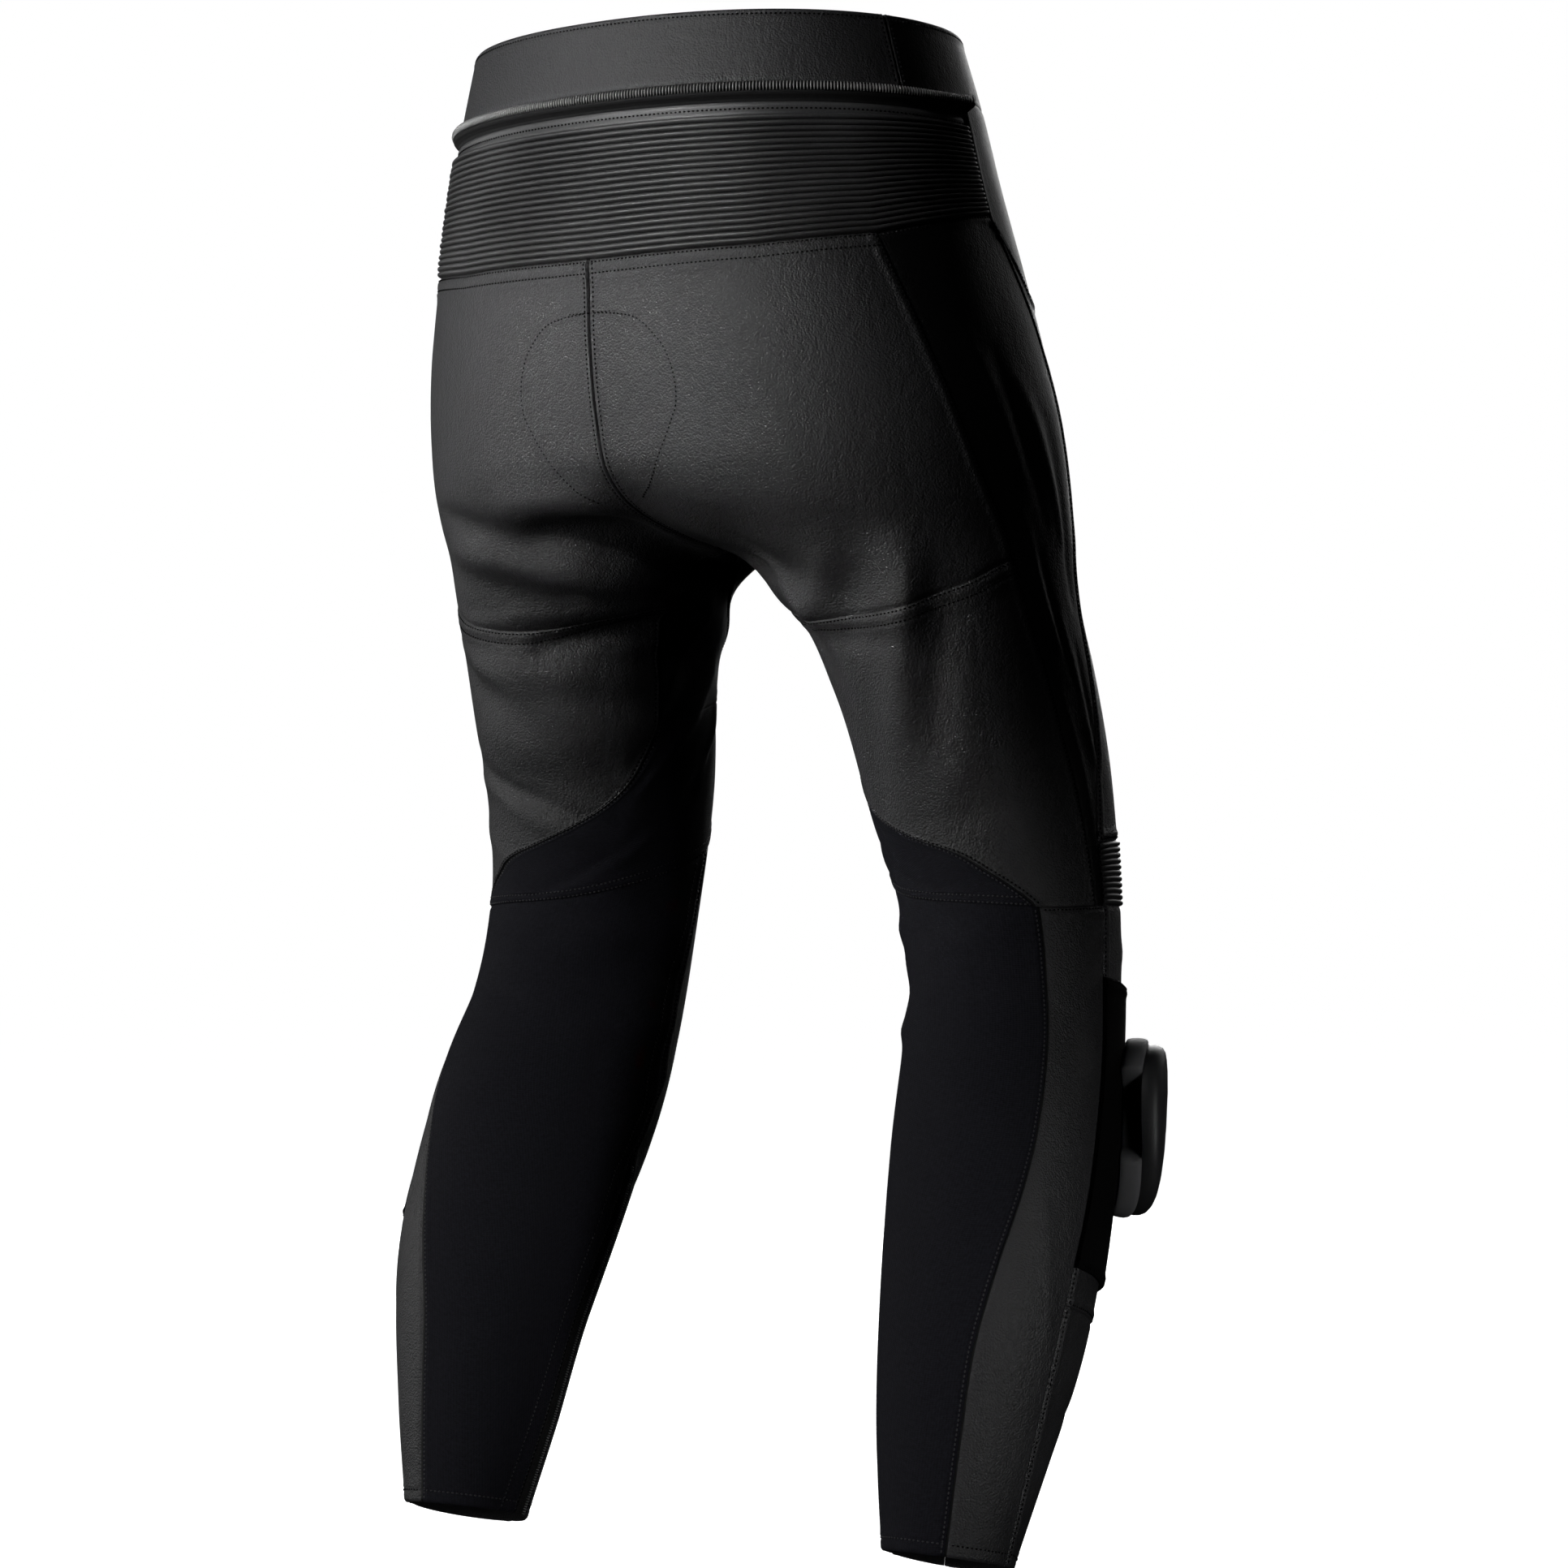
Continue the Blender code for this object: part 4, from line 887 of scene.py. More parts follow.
def add_mesh(name, points, faces, materials, cut_map=None, edge=None, last=0, sharp=None):
    """A mesh object at the origin, from its points and one or more arrays of faces. The
    last faces take the second material. Folds past the sharp angle are shaded as edges."""
    mesh = bpy.data.meshes.new(name)
    every_face = [face for group in faces for face in np.asarray(group).tolist()]
    mesh.from_pydata(points.reshape(-1, 3).tolist(), [], every_face)
    for material in materials:
        mesh.materials.append(material)
    if last:
        index = np.zeros(len(every_face), np.int32)
        index[-last:] = 1
        mesh.polygons.foreach_set("material_index", index)
    if cut_map is not None:
        layer = mesh.uv_layers.new(name="cut")
        layer.data.foreach_set("uv", cut_map[faces[0].ravel()].astype(np.float32).ravel())
    if edge is not None:
        marks = mesh.attributes.new("edge", "FLOAT", "POINT")
        marks.data.foreach_set("value", edge.astype(np.float32))
    mesh.shade_smooth()
    if sharp:
        mesh.set_sharp_from_angle(angle=np.radians(sharp))
    piece = bpy.data.objects.new(name, mesh)
    bpy.context.scene.collection.objects.link(piece)
    return piece


def finish_piece(piece, node):
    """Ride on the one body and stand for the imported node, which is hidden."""
    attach(piece, "root")
    if node:
        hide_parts(node)
    return piece


def add_cloth(node, side, angle, height, wall, material, slot, edges, relief=0.0, lift=0.0):
    side = np.broadcast_to(np.asarray(side, float), angle.shape)
    skin, out = worn_skin(side, angle, height)
    away = distances(skin)
    up = np.broadcast_to(relief, angle.shape) + np.broadcast_to(lift, angle.shape)
    wear = np.zeros(angle.shape)
    for place, kind in edges.items():
        up = up + edge_relief(kind, away[place])
        rubbed = np.exp(-((away[place] - WEAR_AT) / WEAR_WIDTH) ** 2)
        wear = np.maximum(wear, rubbed * (kind != "under"))
    outer = skin + out * up[..., None]
    inner = skin + out * (np.broadcast_to(lift, angle.shape) - wall)[..., None]
    faces, inside = shell_faces(*angle.shape)
    if side[0, 0] * (angle[0, 1] - angle[0, 0]) < 0:
        faces = faces[:, ::-1]
    cut_map = np.stack([away["l"], -away["t"]], -1).reshape(-1, 2)
    piece = add_mesh(node + "_cloth", np.stack([outer, inner]), (faces,), (material, LINING),
                     np.concatenate([cut_map, cut_map]), np.append(wear, 0 * wear), inside,
                     CLOTH_SHARP)
    finish_piece(piece, node)
    sheet_size(piece, outer, side, angle, away)
    made[node] = {"outer": outer, "out": out, "away": away, "edges": edges, "slot": slot}
    return piece


def flat_size(points, side, angle, away):
    """The smaller of two rectangles: the longest row by the longest column, as for a strip,
    and the smallest round the piece unrolled from its leg (arc round it, height down it)."""
    arc = np.cumsum(np.linalg.norm(np.diff(points[..., :2], axis=1), axis=-1), axis=1)
    arc = np.pad(arc, ((0, 0), (1, 0)))
    turned = angle[:, -1:] - angle[:, :1]
    start = angle[:, :1] * np.sign(turned) * arc[:, -1:] / np.maximum(np.abs(turned), 1e-6)
    if np.ptp(side) > 0:
        start = -arc[:, -1:] / 2
    flat = np.stack([start + arc, points[..., 2]], -1).reshape(-1, 2)
    way = np.radians(np.arange(0, 90, 2))
    spread = [np.ptp(flat @ np.stack(pair), axis=0) for pair in
              ((np.cos(way), np.sin(way)), (-np.sin(way), np.cos(way)))]
    least = np.argmin(spread[0] * spread[1])
    unrolled = (spread[0][least], spread[1][least])
    strip = (away["l"][:, -1].max(), away["t"][-1].max())
    return min(strip, unrolled, key=np.prod)


def sheet_size(piece, outer, side, angle, away):
    width, length = flat_size(outer, side, angle, away)
    a, b = outer[1:, 1:] - outer[:-1, :-1], outer[1:, :-1] - outer[:-1, 1:]
    area = np.linalg.norm(np.cross(a, b), axis=-1).sum() / 2
    length = max(length, CUT_SLACK * area / width)
    print(f"{piece.name}: cut {width * 1000:.0f} x {length * 1000:.0f} mm, {area * 1e4:.0f} cm2")


print("shell builder ready")

# %% [markdown]
# ## Pieces of both legs
#
# The seat, the thighs, the side panels, the shins and the outer calves are leather. The
# inner thighs, the wedges behind the knees and the backs of the calves are stretch cloth.
# A table gives each piece its rows, its two seams, its wall and how its left, right, top
# and bottom edges are sewn.

# %% Leather and cloth pieces of both legs
LEG_PIECES = (
    # piece, first row, last row, left seam, right seam, wall, material, slot, edges l r t b
    ("seat", YOKE, THIGH, seam(SIDE_BACK), centre_behind, LEATHER, HIDE, "leather",
     ("over", "rolled", "over_twice", "under")),
    ("thigh_back", THIGH, KNEE, seam(SIDE_BACK), seam(KNEE_WEDGE), LEATHER, HIDE, "leather",
     ("over", "rolled", "over_twice", "plain")),
    ("side_panel", YOKE, KNEE, seam(SIDE_FRONT), seam(SIDE_BACK), LEATHER, SIDE_AND_SHADED_HIDE,
     "side_leather", ("under", "under", "over", "plain")),
    ("inner_thigh", INSEAM_TIP_ROW, WEDGE_ROW, seam(KNEE_WEDGE), seam(INNER_FRONT), STRETCH,
     STRETCH_CLOTH, "stretch_cloth", ("under", "under", "under", "plain")),
    ("knee_back", WEDGE_ROW, KNEE, seam(KNEE_WEDGE), seam(INNER_FRONT), STRETCH,
     STRETCH_CLOTH, "stretch_cloth", ("piped", "under", "plain", "over_twice")),
    # the front hips are the seat's leather; the darker side hide on them is painted shade
    ("front_hip", BAND, YOKE, front_inner, level(HIP_SIDE), LEATHER, SIDE_AND_SHADED_HIDE, "leather",
     ("under", "over", "under", "under")),
    ("front_thigh", YOKE, RIB_ROW, front_inner, seam(SIDE_FRONT), LEATHER, HIDE, "leather",
     ("over", "over", "over_twice", "over")),
    ("outer_calf", KNEE, END, seam(CALF_FRONT), seam(CALF_OUTER), LEATHER, HIDE, "leather",
     ("plain", "under", "over", "hem")),
    ("calf_stretch", KNEE, END, seam(CALF_OUTER), beside_zip(-1), STRETCH, STRETCH_CLOTH,
     "stretch_cloth", ("piped", "over_zip", "under", "hem")),
    ("inner_shin", KNEE, END, beside_zip(1), seam(INNER_FRONT), LEATHER, HIDE, "leather",
     ("over", "under", "under", "hem")),
    ("knee_panel", KNEE, PANEL_ROW, seam(INNER_FRONT, -360), seam(CALF_FRONT), LEATHER, HIDE,
     "leather", ("over", "over", "under", "over")),
    ("shin_front", PANEL_ROW, END, seam(INNER_FRONT, -360), seam(CALF_FRONT), LEATHER, HIDE,
     "leather", ("over", "over", "under", "hem")),
)
LEGS = (("left", 1.0), ("right", -1.0))

for piece, first, last, left, right, wall, material, slot, edges in LEG_PIECES:
    for leg, side in LEGS:
        middle = np.mean(crossing(np.array([first, last]), seam(SIDE_BACK)))
        rows = fine_rows(first, last, middle)
        angle, height = lay_out(rows, left, right, side)
        add_cloth(f"{piece}_{leg}", side, angle, height, wall, material, slot,
                  dict(zip("lrtb", edges)))
print("cloth pieces so far:", len(made))

# %% [markdown]
# ## Accordion ribs
#
# The stretch panel above the seat and the panel above each knee are leather gathered into
# ribs by rows of elastic. A bump map would look flat at the outline, so the ribs are real:
# each is half a sine wave made rounder, and its height wanders a little along its length.

# %% Ribbed pieces
BACK_RIBS, BACK_RIB_HEIGHT, BACK_RIB_MARGIN = 20, 0.0029, 0.09
KNEE_RIBS, KNEE_RIB_HEIGHT = 11, 0.0017
RIB_STEPS = np.array([0.0, 0.09, 0.24, 0.42, 0.60, 0.78, 0.92])
RIB_ROUND, RIB_LEAN, RIB_BORDER = 0.70, 0.06, 7
WANDER = ((0.06, 21, 2.1), (0.04, 57, -3.3))   # share of the height, waves, turn from rib to rib


def rib_marks(start, end, ribs, margin):
    """Row numbers with the rib steps in every rib, and each row's place counted in ribs."""
    place = (np.arange(ribs)[:, None] + RIB_STEPS).ravel()
    border = -np.linspace(1, 0, RIB_BORDER + 1)[:-1] if margin > 0 else np.zeros(0)
    share = np.concatenate([margin * (1 + border), margin + (1 - margin) * place / ribs, [1.0]])
    place = np.concatenate([border, place, [ribs]])
    return start + (end - start) * share, place


def rib_relief(place, along, height):
    """height * |sin(pi * place)|^round, leaning down, with a slow wander along each rib."""
    inside = np.clip(place, 0, None)[:, None]
    lean = inside + RIB_LEAN * np.sin(TURN * inside)
    number = np.floor(np.minimum(inside, place[-1] - 0.001))
    wander = sum(part * np.sin(along * waves + turn * number) for part, waves, turn in WANDER)
    return height * np.abs(np.sin(np.pi * lean)) ** RIB_ROUND * (1 + wander)


def mirrored(rows, left, right):
    """A grid from a seam on the right side to the middle, then on to its mirror on the left."""
    angle, height = lay_out(rows, left, right, -1.0)
    side = np.concatenate([-np.ones(angle.shape), np.ones(angle.shape)[:, 1:]], axis=1)
    return (side, np.concatenate([angle, angle[:, -2::-1]], axis=1),
            np.concatenate([height, height[:, -2::-1]], axis=1))


rows, place = rib_marks(ZIP, YOKE, BACK_RIBS, BACK_RIB_MARGIN)
side, angle, height = mirrored(rows, level(HIP_SIDE), centre_behind)
along = np.linspace(-0.3, 0.3, angle.shape[1])[None, :]
add_cloth("ribbed_back_panel", side, angle, height, LEATHER, RIB_HIDE, "ribbed_leather",
          {"l": "under", "r": "under", "t": "ribs_top", "b": "under"},
          relief=rib_relief(place, along, BACK_RIB_HEIGHT))

rows, place = rib_marks(RIB_ROW, KNEE, KNEE_RIBS, 0.0)
for leg, side in LEGS:
    angle, height = lay_out(rows, front_inner, seam(SIDE_FRONT), side)
    along = np.linspace(-0.06, 0.06, angle.shape[1])[None, :]
    add_cloth(f"knee_ribs_{leg}", side, angle, height, LEATHER, RIB_HIDE, "ribbed_leather",
              {"l": "under", "r": "under", "t": "plain", "b": "plain"},
              relief=rib_relief(place, along, KNEE_RIB_HEIGHT))
print("ribs:", BACK_RIBS, "behind the waist and", KNEE_RIBS, "above each knee")

# %% [markdown]
# ## Waistband, fly and the zip that joins a jacket
#
# The waistband is a folded leather strip, so its top edge is round and topstitched. Its
# left end passes over the right one as a tab. Half a coarse zip is sewn in under it. The
# zip's tape stands out like a lip, and its ends curl away over the hips.

# %% Waistband and fly
TAB_REACH, TAB_RAMP, TAB_LIFT = 0.036, 0.014, 0.00245

rows = fine_rows(WAIST, BAND, 90)
side, angle, height = mirrored(rows, level(BAND_SEAM), centre_behind)
add_cloth("waistband_back", side, angle, height, LEATHER, HIDE, "leather",
          {"l": "rolled", "r": "rolled", "t": "fold", "b": "plain"})

angle, height = lay_out(rows, level(BAND_SEAM), beside(0.0), -1.0)
add_cloth("waistband_front_right", -1.0, angle, height, LEATHER, SIDE_AND_SHADED_HIDE, "side_leather",
          {"l": "rolled", "r": "plain", "t": "fold", "b": "plain"})

angle, height = lay_out(rows, level(BAND_SEAM), beside(0.0), 1.0)
tab_angle, tab_height = lay_out(rows, beside(0.0), beside(TAB_REACH), -1.0)
side = np.concatenate([np.ones(angle.shape), -np.ones(tab_angle.shape)], axis=1)
angle = np.concatenate([angle, tab_angle], axis=1)
height = np.concatenate([height, tab_height], axis=1)
ahead = bare_skin(side, angle, height)[..., 0]
add_cloth("waistband_front_left", side, angle, height, LEATHER, SIDE_AND_SHADED_HIDE, "side_leather",
          {"l": "rolled", "r": "over", "t": "fold", "b": "plain"},
          lift=TAB_LIFT * soft_step((TAB_RAMP - ahead) / TAB_RAMP))

rows = fine_rows(BAND, FLY_ROW, -90)
side, angle, height = mirrored(rows, beside(fly_half), beside(0.0))
add_cloth("fly", side, angle, height, LEATHER, HIDE, "leather",
          {"l": "under", "r": "under", "t": "plain", "b": "under"})

# %% Zips
CHAIN_LIFT, CHAIN_END_LIFT, CHAIN_END = 0.0040, 0.0058, 0.05
LIP_RISE, LIP_FALL_FROM, LIP_FALL, TAPE_ROWS = 0.25, 0.62, 0.3, 19   # shares of the tape
CALF_ZIP_RIDGE, CALF_RIDGE_WIDTH = 0.0012, 0.16

rows = np.linspace(BAND, ZIP, TAPE_ROWS)
side, angle, height = mirrored(rows, level(HIP_SIDE), centre_behind)
share = np.linspace(0, 1, len(rows))[:, None]
along = np.linspace(0, 1, angle.shape[1])[None, :]
ends = np.exp(-(along / CHAIN_END) ** 2) + np.exp(-((1 - along) / CHAIN_END) ** 2)
stand = soft_step(share / LIP_RISE) * (1 - soft_step((share - LIP_FALL_FROM) / LIP_FALL))
add_cloth("joining_zip", side, angle, height, STRETCH, TAPE, "zip_tape",
          {"t": "plain", "b": "plain"}, relief=stand * (CHAIN_LIFT + CHAIN_END_LIFT * ends))

rows = fine_rows(ZIP_TOP_ROW, END, 180)
for leg, side in LEGS:
    angle, height = lay_out(rows, beside_zip(-1), beside_zip(1), side)
    share = np.linspace(0, 1, angle.shape[1])[None, :]
    stand = np.exp(-((share - 0.5) / CALF_RIDGE_WIDTH) ** 2)
    add_cloth(f"calf_zip_{leg}", side, angle, height, STRETCH, TAPE, "zip_tape",
              {"t": "plain", "b": "plain"}, relief=CALF_ZIP_RIDGE * stand)

# %% [markdown]
# ## Knee sliders and their pads
#
# A slider is a thick moulded disc that scrapes the road. It has a grey rim that grips the
# pad and a harder domed face, with a step between them, and the rim is scooped at both
# sides for fingers. It is worked out as rings round its middle, laid on the same skin as
# the pad, so that it hugs the leg. The pad is loop fabric that the slider's hooks hold to.

# %% Pads and sliders
PAD_WALL, SEAT = 0.0028, 0.0003
SLIDER_ANGLE, SLIDER_HEIGHT_AT = -41.0, -0.690
SLIDER_TALL, SLIDER_WIDE, SLIDER_THICK, SLIDER_NARROWING = 0.099, 0.084, 0.026, 0.22
SLIDER_SPOKES, SLIDER_SHARP = 128, 60
# The finger scoop at both sides of the rim: its depth, half its width and its soft ends
SCOOP, SCOOP_REACH, SCOOP_FADE = 0.28, 30.0, 4.0
UNDERSIDE, UNDERSIDE_FROM = 0.005, 0.6   # its thickness share, and where its outer part starts
PAD_FROM, PAD_TO, PAD_COLUMNS = 0.375, 0.998, 40   # shares of the knee panel's width
PAD_ANGLE = -40
SLIDER_PROFILE = np.array([
    # share of the half width, share of the thickness, how grey it is
    (0.05, 0.00, 0), (0.50, 0.00, 0), (0.84, 0.00, 0), (0.985, 0.01, 1), (1.00, 0.04, 1),
    (1.012, 0.16, 1), (1.015, 0.30, 1), (1.010, 0.44, 1), (0.995, 0.52, 1), (0.970, 0.55, 1),
    (0.955, 0.54, 1), (0.945, 0.55, 0), (0.950, 0.60, 0), (0.952, 0.70, 0), (0.940, 0.82, 0),
    (0.915, 0.91, 0), (0.870, 0.975, 0), (0.800, 1.01, 0), (0.680, 1.04, 0), (0.500, 1.06, 0),
    (0.250, 1.075, 0), (0.06, 1.08, 0),
])


def ring_faces(rings, spokes):
    """Quads between each ring of points and the next, and one flat face at each end."""
    at = np.arange(rings * spokes).reshape(rings, spokes)
    a, b = at[:-1], at[1:]
    faces = np.stack([a, np.roll(a, -1, 1), np.roll(b, -1, 1), b], -1).reshape(-1, 4)
    return faces, np.stack([at[0][::-1], at[-1]])


for leg, side in LEGS:
    rows = fine_rows(PAD_TOP_ROW, PAD_END_ROW, PAD_ANGLE)
    inner_edge = angles_of(rows, seam(INNER_FRONT, -360))[:, None]
    outer_edge = angles_of(rows, seam(CALF_FRONT))[:, None]
    share = np.linspace(PAD_FROM, PAD_TO, PAD_COLUMNS)
    angle = inner_edge + (outer_edge - inner_edge) * share
    add_cloth(f"slider_pad_{leg}", side, angle, heights_at(rows, angle), PAD_WALL, LOOPS,
              "loop_fabric", {"l": "over", "r": "plain", "t": "over", "b": "over"},
              lift=PAD_WALL + SEAT)

reach = section(np.array(SLIDER_HEIGHT_AT))[3]
turn = np.linspace(0, TURN, SLIDER_SPOKES, endpoint=False)
for leg, side in LEGS:
    share, out_share, grey = SLIDER_PROFILE.T[..., None]
    half_wide = SLIDER_WIDE / 2 * (1 - SLIDER_NARROWING * (1 - np.sin(turn)) / 2)
    from_side = np.degrees(np.abs((turn + np.pi / 2) % np.pi - np.pi / 2))
    in_base = (grey > 0) | ((out_share < UNDERSIDE) & (share > UNDERSIDE_FROM))
    scoop = soft_step((SCOOP_REACH - from_side) / SCOOP_FADE) * in_base
    share = share * (1 - SCOOP * scoop)
    grey = grey * (1 - scoop)
    angle = SLIDER_ANGLE + np.degrees(share * half_wide * np.cos(turn) / reach)
    height = SLIDER_HEIGHT_AT + share * SLIDER_TALL / 2 * np.sin(turn)
    skin, out = worn_skin(np.full(angle.shape, side), angle, height)
    points = skin + out * (PAD_WALL + 3 * SEAT + SLIDER_THICK * out_share)[..., None]
    faces, ends = ring_faces(*angle.shape)
    if side < 0:
        faces, ends = faces[:, ::-1], ends[:, ::-1]
    slider = add_mesh(f"knee_slider_{leg}_moulding", points, (faces, ends), (SLIDER,),
                      edge=np.broadcast_to(grey, angle.shape).ravel(), sharp=SLIDER_SHARP)
    finish_piece(slider, f"knee_slider_{leg}")
    made[f"knee_slider_{leg}"] = None
print("pieces:", len(made))

# %% [markdown]
# ## Stitches
#
# Topstitching is what makes the seams read as sewn. Each stitch is a short thread that
# dips into its needle holes at both ends. One small bar of four sides is worked out once
# and copied along every row with array arithmetic, so thousands of stitches cost little.

# %% Rows of small shapes
PITCH, CORNER_CLEAR = 0.0030, 0.0014
STITCH_HALF, THREAD_HALF, THREAD_DEPTH, THREAD_SUNK, THREAD_UP = (
    0.00085, 0.00070, 0.00042, 0.00030, 0.00022)
BAR_RINGS = ((-1.0, 0.45), (-0.35, 1.0), (0.35, 1.0), (1.0, 0.45))   # place along, size
AIM_SHARE = 0.3   # a stitch points from 0.3 pitch behind its middle to 0.3 pitch ahead


def rounded_bar(half_length, half_width, half_depth, sink, sides=4):
    """Four rings round a bar: x along it, y across, z out; the end rings are small and sunk."""
    turn = (np.arange(sides) + 0.5) * TURN / sides
    rings = []
    for x, size in BAR_RINGS:
        drop = sink * (size < 1)
        rings.append(np.stack([np.full(sides, x * half_length), size * half_width * np.cos(turn),
                               size * half_depth * np.sin(turn) - drop], -1))
    return np.concatenate(rings), *ring_faces(len(BAR_RINGS), sides)


def copy_along(shape, centre, along, out):
    """Points and faces of a small shape at every centre, turned to its own three directions."""
    points, faces, ends = shape
    along = along / np.linalg.norm(along, axis=-1, keepdims=True)
    across = np.cross(out, along)
    across = across / np.linalg.norm(across, axis=-1, keepdims=True)
    up = np.cross(along, across)
    turned = np.stack([along, across, up], axis=1)
    placed = centre[:, None, :] + np.einsum("pk,nkx->npx", points, turned)
    offset = (np.arange(len(centre)) * len(points))[:, None, None]
    quads = (faces[None] + offset).reshape(-1, 4)
    caps = (ends[None] + offset).reshape(-1, len(ends[0]))
    return placed.reshape(-1, 3), quads, caps


def row_on(grid, away, distance):
    """A grid's values along the line at a distance from the edge where away is 0."""
    n = np.arange(len(away))
    k = np.clip((away <= distance).sum(axis=1) - 1, 0, away.shape[1] - 2)
    t = ((distance - away[n, k]) / np.maximum(away[n, k + 1] - away[n, k], 1e-9))[..., None]
    return grid[n, k] * (1 - t) + grid[n, k + 1] * t


def evenly(points, out, pitch):
    """Middles, directions and outward directions of steps of one pitch along a line."""
    along = np.append(0.0, np.cumsum(np.linalg.norm(np.diff(points, axis=0), axis=-1)))
    count = max(1, int(along[-1] / pitch))
    at = (np.arange(count) + 0.5) * along[-1] / count

    def read(values, where):
        return np.stack([np.interp(where, along, values[:, k]) for k in range(3)], -1)

    ahead, behind = at + AIM_SHARE * pitch, at - AIM_SHARE * pitch
    return read(points, at), read(points, ahead) - read(points, behind), read(out, at)


class Beads:
    """Small shapes collected for one object."""

    def __init__(self):
        self.points, self.quads, self.caps, self.count = [], [], [], 0

    def add(self, shape, centre, along, out):
        placed, quads, caps = copy_along(shape, centre, along, out)
        self.points.append(placed)
        self.quads.append(quads + self.count)
        self.caps.append(caps + self.count)
        self.count += len(placed)

    def build(self, name, material):
        faces = np.concatenate(self.quads), np.concatenate(self.caps)
        piece = add_mesh(name, np.concatenate(self.points), faces, (material,))
        finish_piece(piece, None)


STITCH = rounded_bar(STITCH_HALF, THREAD_HALF, THREAD_DEPTH, THREAD_SUNK)
print("points in one stitch:", len(STITCH[0]))

# %% Stitch every row of every piece
AXES = {
    # edge: (turn the grid, run it backwards), so that the edge comes first along axis 1
    "l": (False, False), "r": (False, True), "t": (True, False), "b": (True, True),
}
FEWEST = 3   # a row that keeps no more points than this is left bare
stitch_count = 0


def facing(grid, place):
    """A piece's grid turned so that its rows start at the edge at that place."""
    turned, backwards = AXES[place]
    grid = np.swapaxes(grid, 0, 1) if turned else grid
    return grid[:, ::-1] if backwards else grid


def stitch_piece(node, info):
    """Stitches along each row of each edge, stopping short of the piece's corners."""
    beads = Beads()
    for place, kind in info["edges"].items():
        for distance in EDGES[kind][4]:
            away = facing(info["away"][place], place)
            points = row_on(facing(info["outer"], place), away, distance)
            out = row_on(facing(info["out"], place), away, distance)
            ends = [facing(info["away"][p], place) for p in ("tb" if place in "lr" else "lr")]
            room = np.minimum(*[row_on(end[..., None], away, distance)[:, 0] for end in ends])
            keep = (room > CORNER_CLEAR) & (away[:, -1] > distance + CORNER_CLEAR)
            if keep.sum() > FEWEST:
                points, out = points[keep], out[keep]
                beads.add(STITCH, *evenly(points + out * THREAD_UP, out, PITCH))
    if beads.count:
        thread = CLOTH_THREAD if info["slot"] in ("stretch_cloth", "side_leather") else THREAD
        beads.build(f"{node}_stitches", thread)
    return beads.count // len(STITCH[0])


for node, info in list(made.items()):
    if info:
        stitch_count += stitch_piece(node, info)
print("stitches:", stitch_count)

# %% [markdown]
# ## Piping
#
# The seams where stretch cloth meets leather behind the knee and down the calf have a
# thin covered cord sewn in, which stands up as a round black line. It could be a curve
# with a bevel, but rings of points round the piece's own edge follow the seam exactly.

# %% Piping in the seams of the stretch cloth
PIPING_RADIUS, PIPING_SUNK, PIPING_SIDES = 0.0019, 0.0001, 10


def add_piping(node, place):
    """A round cord along one edge of a piece: a ring of points at each step of the edge."""
    info = made[node]
    away = facing(info["away"][place], place)
    line = row_on(facing(info["outer"], place), away, 0.0)
    out = row_on(facing(info["out"], place), away, 0.0)
    along = np.gradient(line, axis=0)
    across = np.cross(out, along / np.linalg.norm(along, axis=-1, keepdims=True))
    turn = np.arange(PIPING_SIDES) * TURN / PIPING_SIDES
    ring = (across[:, None] * np.cos(turn)[:, None] + out[:, None] * np.sin(turn)[:, None])
    points = (line - out * PIPING_SUNK)[:, None] + ring * PIPING_RADIUS
    piece = add_mesh(f"{node}_piping", points, ring_faces(len(line), PIPING_SIDES), (PIPING,))
    bm = bmesh.new()
    bm.from_mesh(piece.data)
    bmesh.ops.recalc_face_normals(bm, faces=bm.faces)
    bm.to_mesh(piece.data)
    bm.free()
    finish_piece(piece, None)
    return len(line)


for leg, _ in LEGS:
    for node in (f"calf_stretch_{leg}", f"knee_back_{leg}"):
        print(node, "piping rings:", add_piping(node, "l"))

# %% [markdown]
# ## The patch on the seat
#
# A second layer of leather is sewn inside the seat, where a fall wears it most. Outside,
# only its stitches show, as an egg shape across the centre seam. So the patch is one row
# of stitches on the skin, along a curve through points read for half of the egg.

# %% Stitches round the seat's patch
PATCH = np.array([
    # angle, height: half of the egg, from the centre seam at the top round to the bottom
    (101, -0.185), (93, -0.186), (89, -0.190), (87, -0.200), (86, -0.213), (87, -0.232),
    (90, -0.251), (95, -0.268), (102, -0.283), (110, -0.294), (119, -0.301),
])
PATCH_STEPS = 160
count = np.arange(len(PATCH))
t = np.linspace(0, count[-1], PATCH_STEPS)
patch_angle, patch_height = (smooth_curve(np.stack([count, column], -1), t) for column in PATCH.T)
for leg, side in LEGS:
    points, out = worn_skin(np.full(t.shape, side), patch_angle, patch_height)
    beads = Beads()
    beads.add(STITCH, *evenly(points + out * THREAD_UP, out, PITCH))
    beads.build(f"seat_{leg}_patch_stitches", THREAD)
print("points on each half of the patch:", len(t))

# %% [markdown]
# ## Zip teeth
#
# The jacket's zip is a coarse one with thick moulded teeth, and only its own half is on
# the trousers. The calf zips are closed, so their fine teeth fill the middle of the tape.
# A tooth is a stitch's bar in other measures, turned to lie across the zip.

# %% Zip teeth
TOOTH_PITCH, CALF_TOOTH_PITCH, TOOTH_UP = 0.0021, 0.0017, 0.0010
JOINING_ROW = 6   # the row of the tape's grid that the coarse teeth sit on
# Half length, half width, half depth, how far its ends sink, and its sides
TOOTH = rounded_bar(0.0027, 0.00062, 0.00100, 0.0004, 8)
CALF_TOOTH = rounded_bar(0.0019, 0.00052, 0.00060, 0.0002)


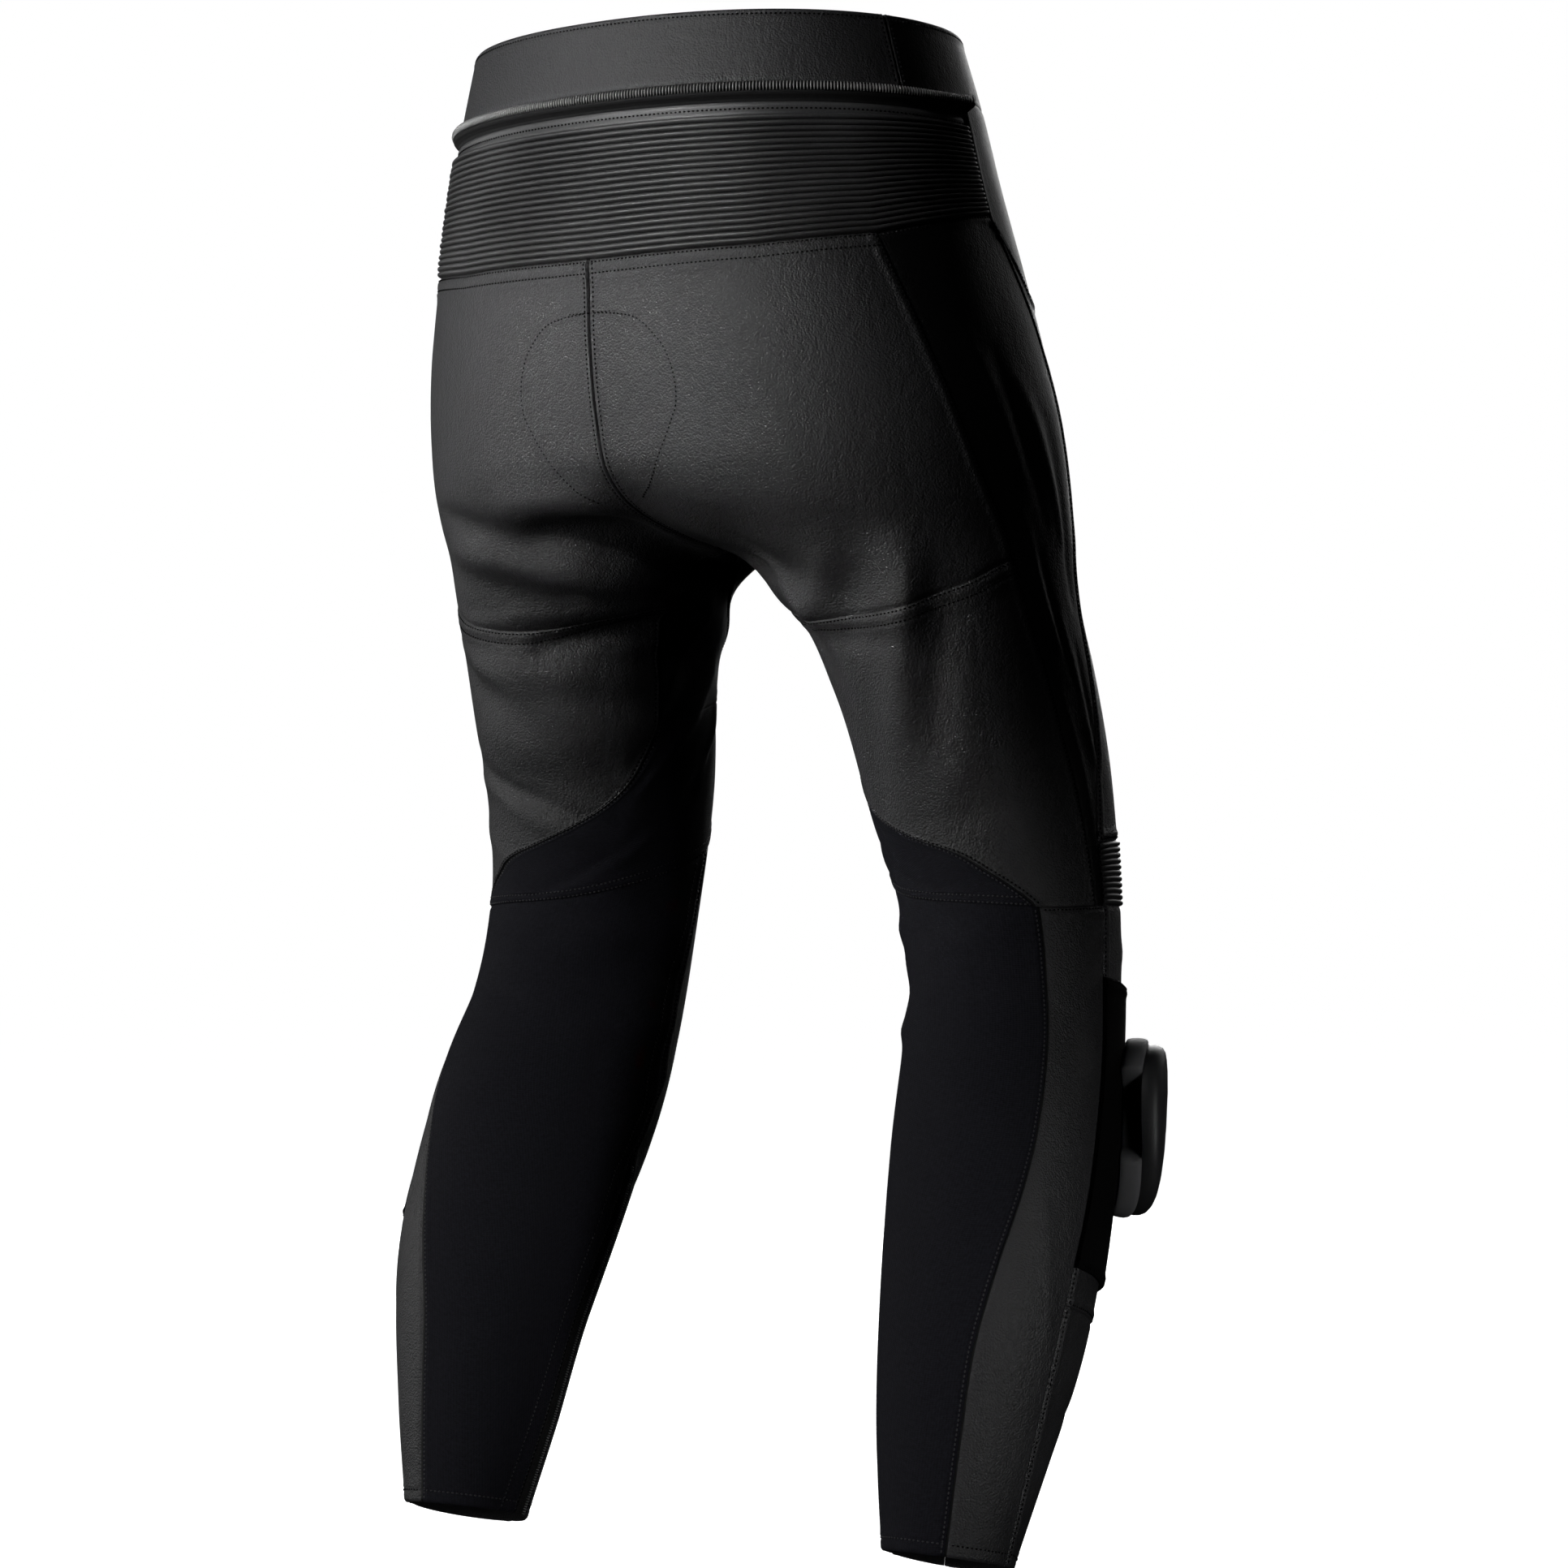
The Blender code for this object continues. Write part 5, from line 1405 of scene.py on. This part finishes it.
def add_teeth(node, line, pitch, tooth):
    """Teeth along one row or column of a zip's grid, each lying across the zip's length."""
    centre, along, out = evenly(made[node]["outer"][line], made[node]["out"][line], pitch)
    beads = Beads()
    beads.add(tooth, centre + out * TOOTH_UP, np.cross(out, along), out)
    beads.build(f"{node}_teeth", TEETH)
    return len(centre)


teeth = add_teeth("joining_zip", JOINING_ROW, TOOTH_PITCH, TOOTH)
for leg, _ in LEGS:
    middle = made[f"calf_zip_{leg}"]["outer"].shape[1] // 2
    teeth += add_teeth(f"calf_zip_{leg}", np.s_[:, middle], CALF_TOOTH_PITCH, CALF_TOOTH)
print("zip teeth:", teeth)

# %% [markdown]
# ## Waist snap
#
# The snap is a hard turned disc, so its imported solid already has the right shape. It
# stays as it is and only takes the lacquer.

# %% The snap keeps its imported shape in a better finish
for piece in bpy.context.scene.objects:
    if piece.name.startswith("waist_snap"):
        for slot in piece.material_slots:
            slot.material = SNAP
        print(piece.name, "finished as", SNAP.name)

# %% [markdown]
# ## Floor and world
#
# The photograph has a plain white ground. The floor and the world are white to the camera
# alone, because their light from all sides would wash the black leather out. Both glow
# with the same strength, so no horizon shows, and the floor lies just under the hems.

# %% Floor and world
FLOOR_DROP, FLOOR_HALF = 0.018, 14.0
floor_z = cad_box[0][2] - FLOOR_DROP
corners = np.array([(-FLOOR_HALF, -FLOOR_HALF, floor_z), (FLOOR_HALF, -FLOOR_HALF, floor_z),
                    (FLOOR_HALF, FLOOR_HALF, floor_z), (-FLOOR_HALF, FLOOR_HALF, floor_z)])
pale = Finish("pale_floor", Base_Color=(0.86, 0.86, 0.86, 1.0), Roughness=0.9,
              Emission_Color=(1.0, 1.0, 1.0, 1.0), Emission_Strength=1.0)
floor = add_mesh("floor", corners, ([(0, 1, 2, 3)],), (pale.material,))
floor.visible_diffuse = floor.visible_glossy = False

world = bpy.data.worlds.new("studio")
world.use_nodes = True
world.node_tree.nodes["Background"].inputs["Color"].default_value = (1.0, 1.0, 1.0, 1.0)
world.node_tree.nodes["Background"].inputs["Strength"].default_value = 1.0
world.cycles_visibility.diffuse = world.cycles_visibility.glossy = False
bpy.context.scene.world = world
print("floor at", round(floor_z, 4), "m")
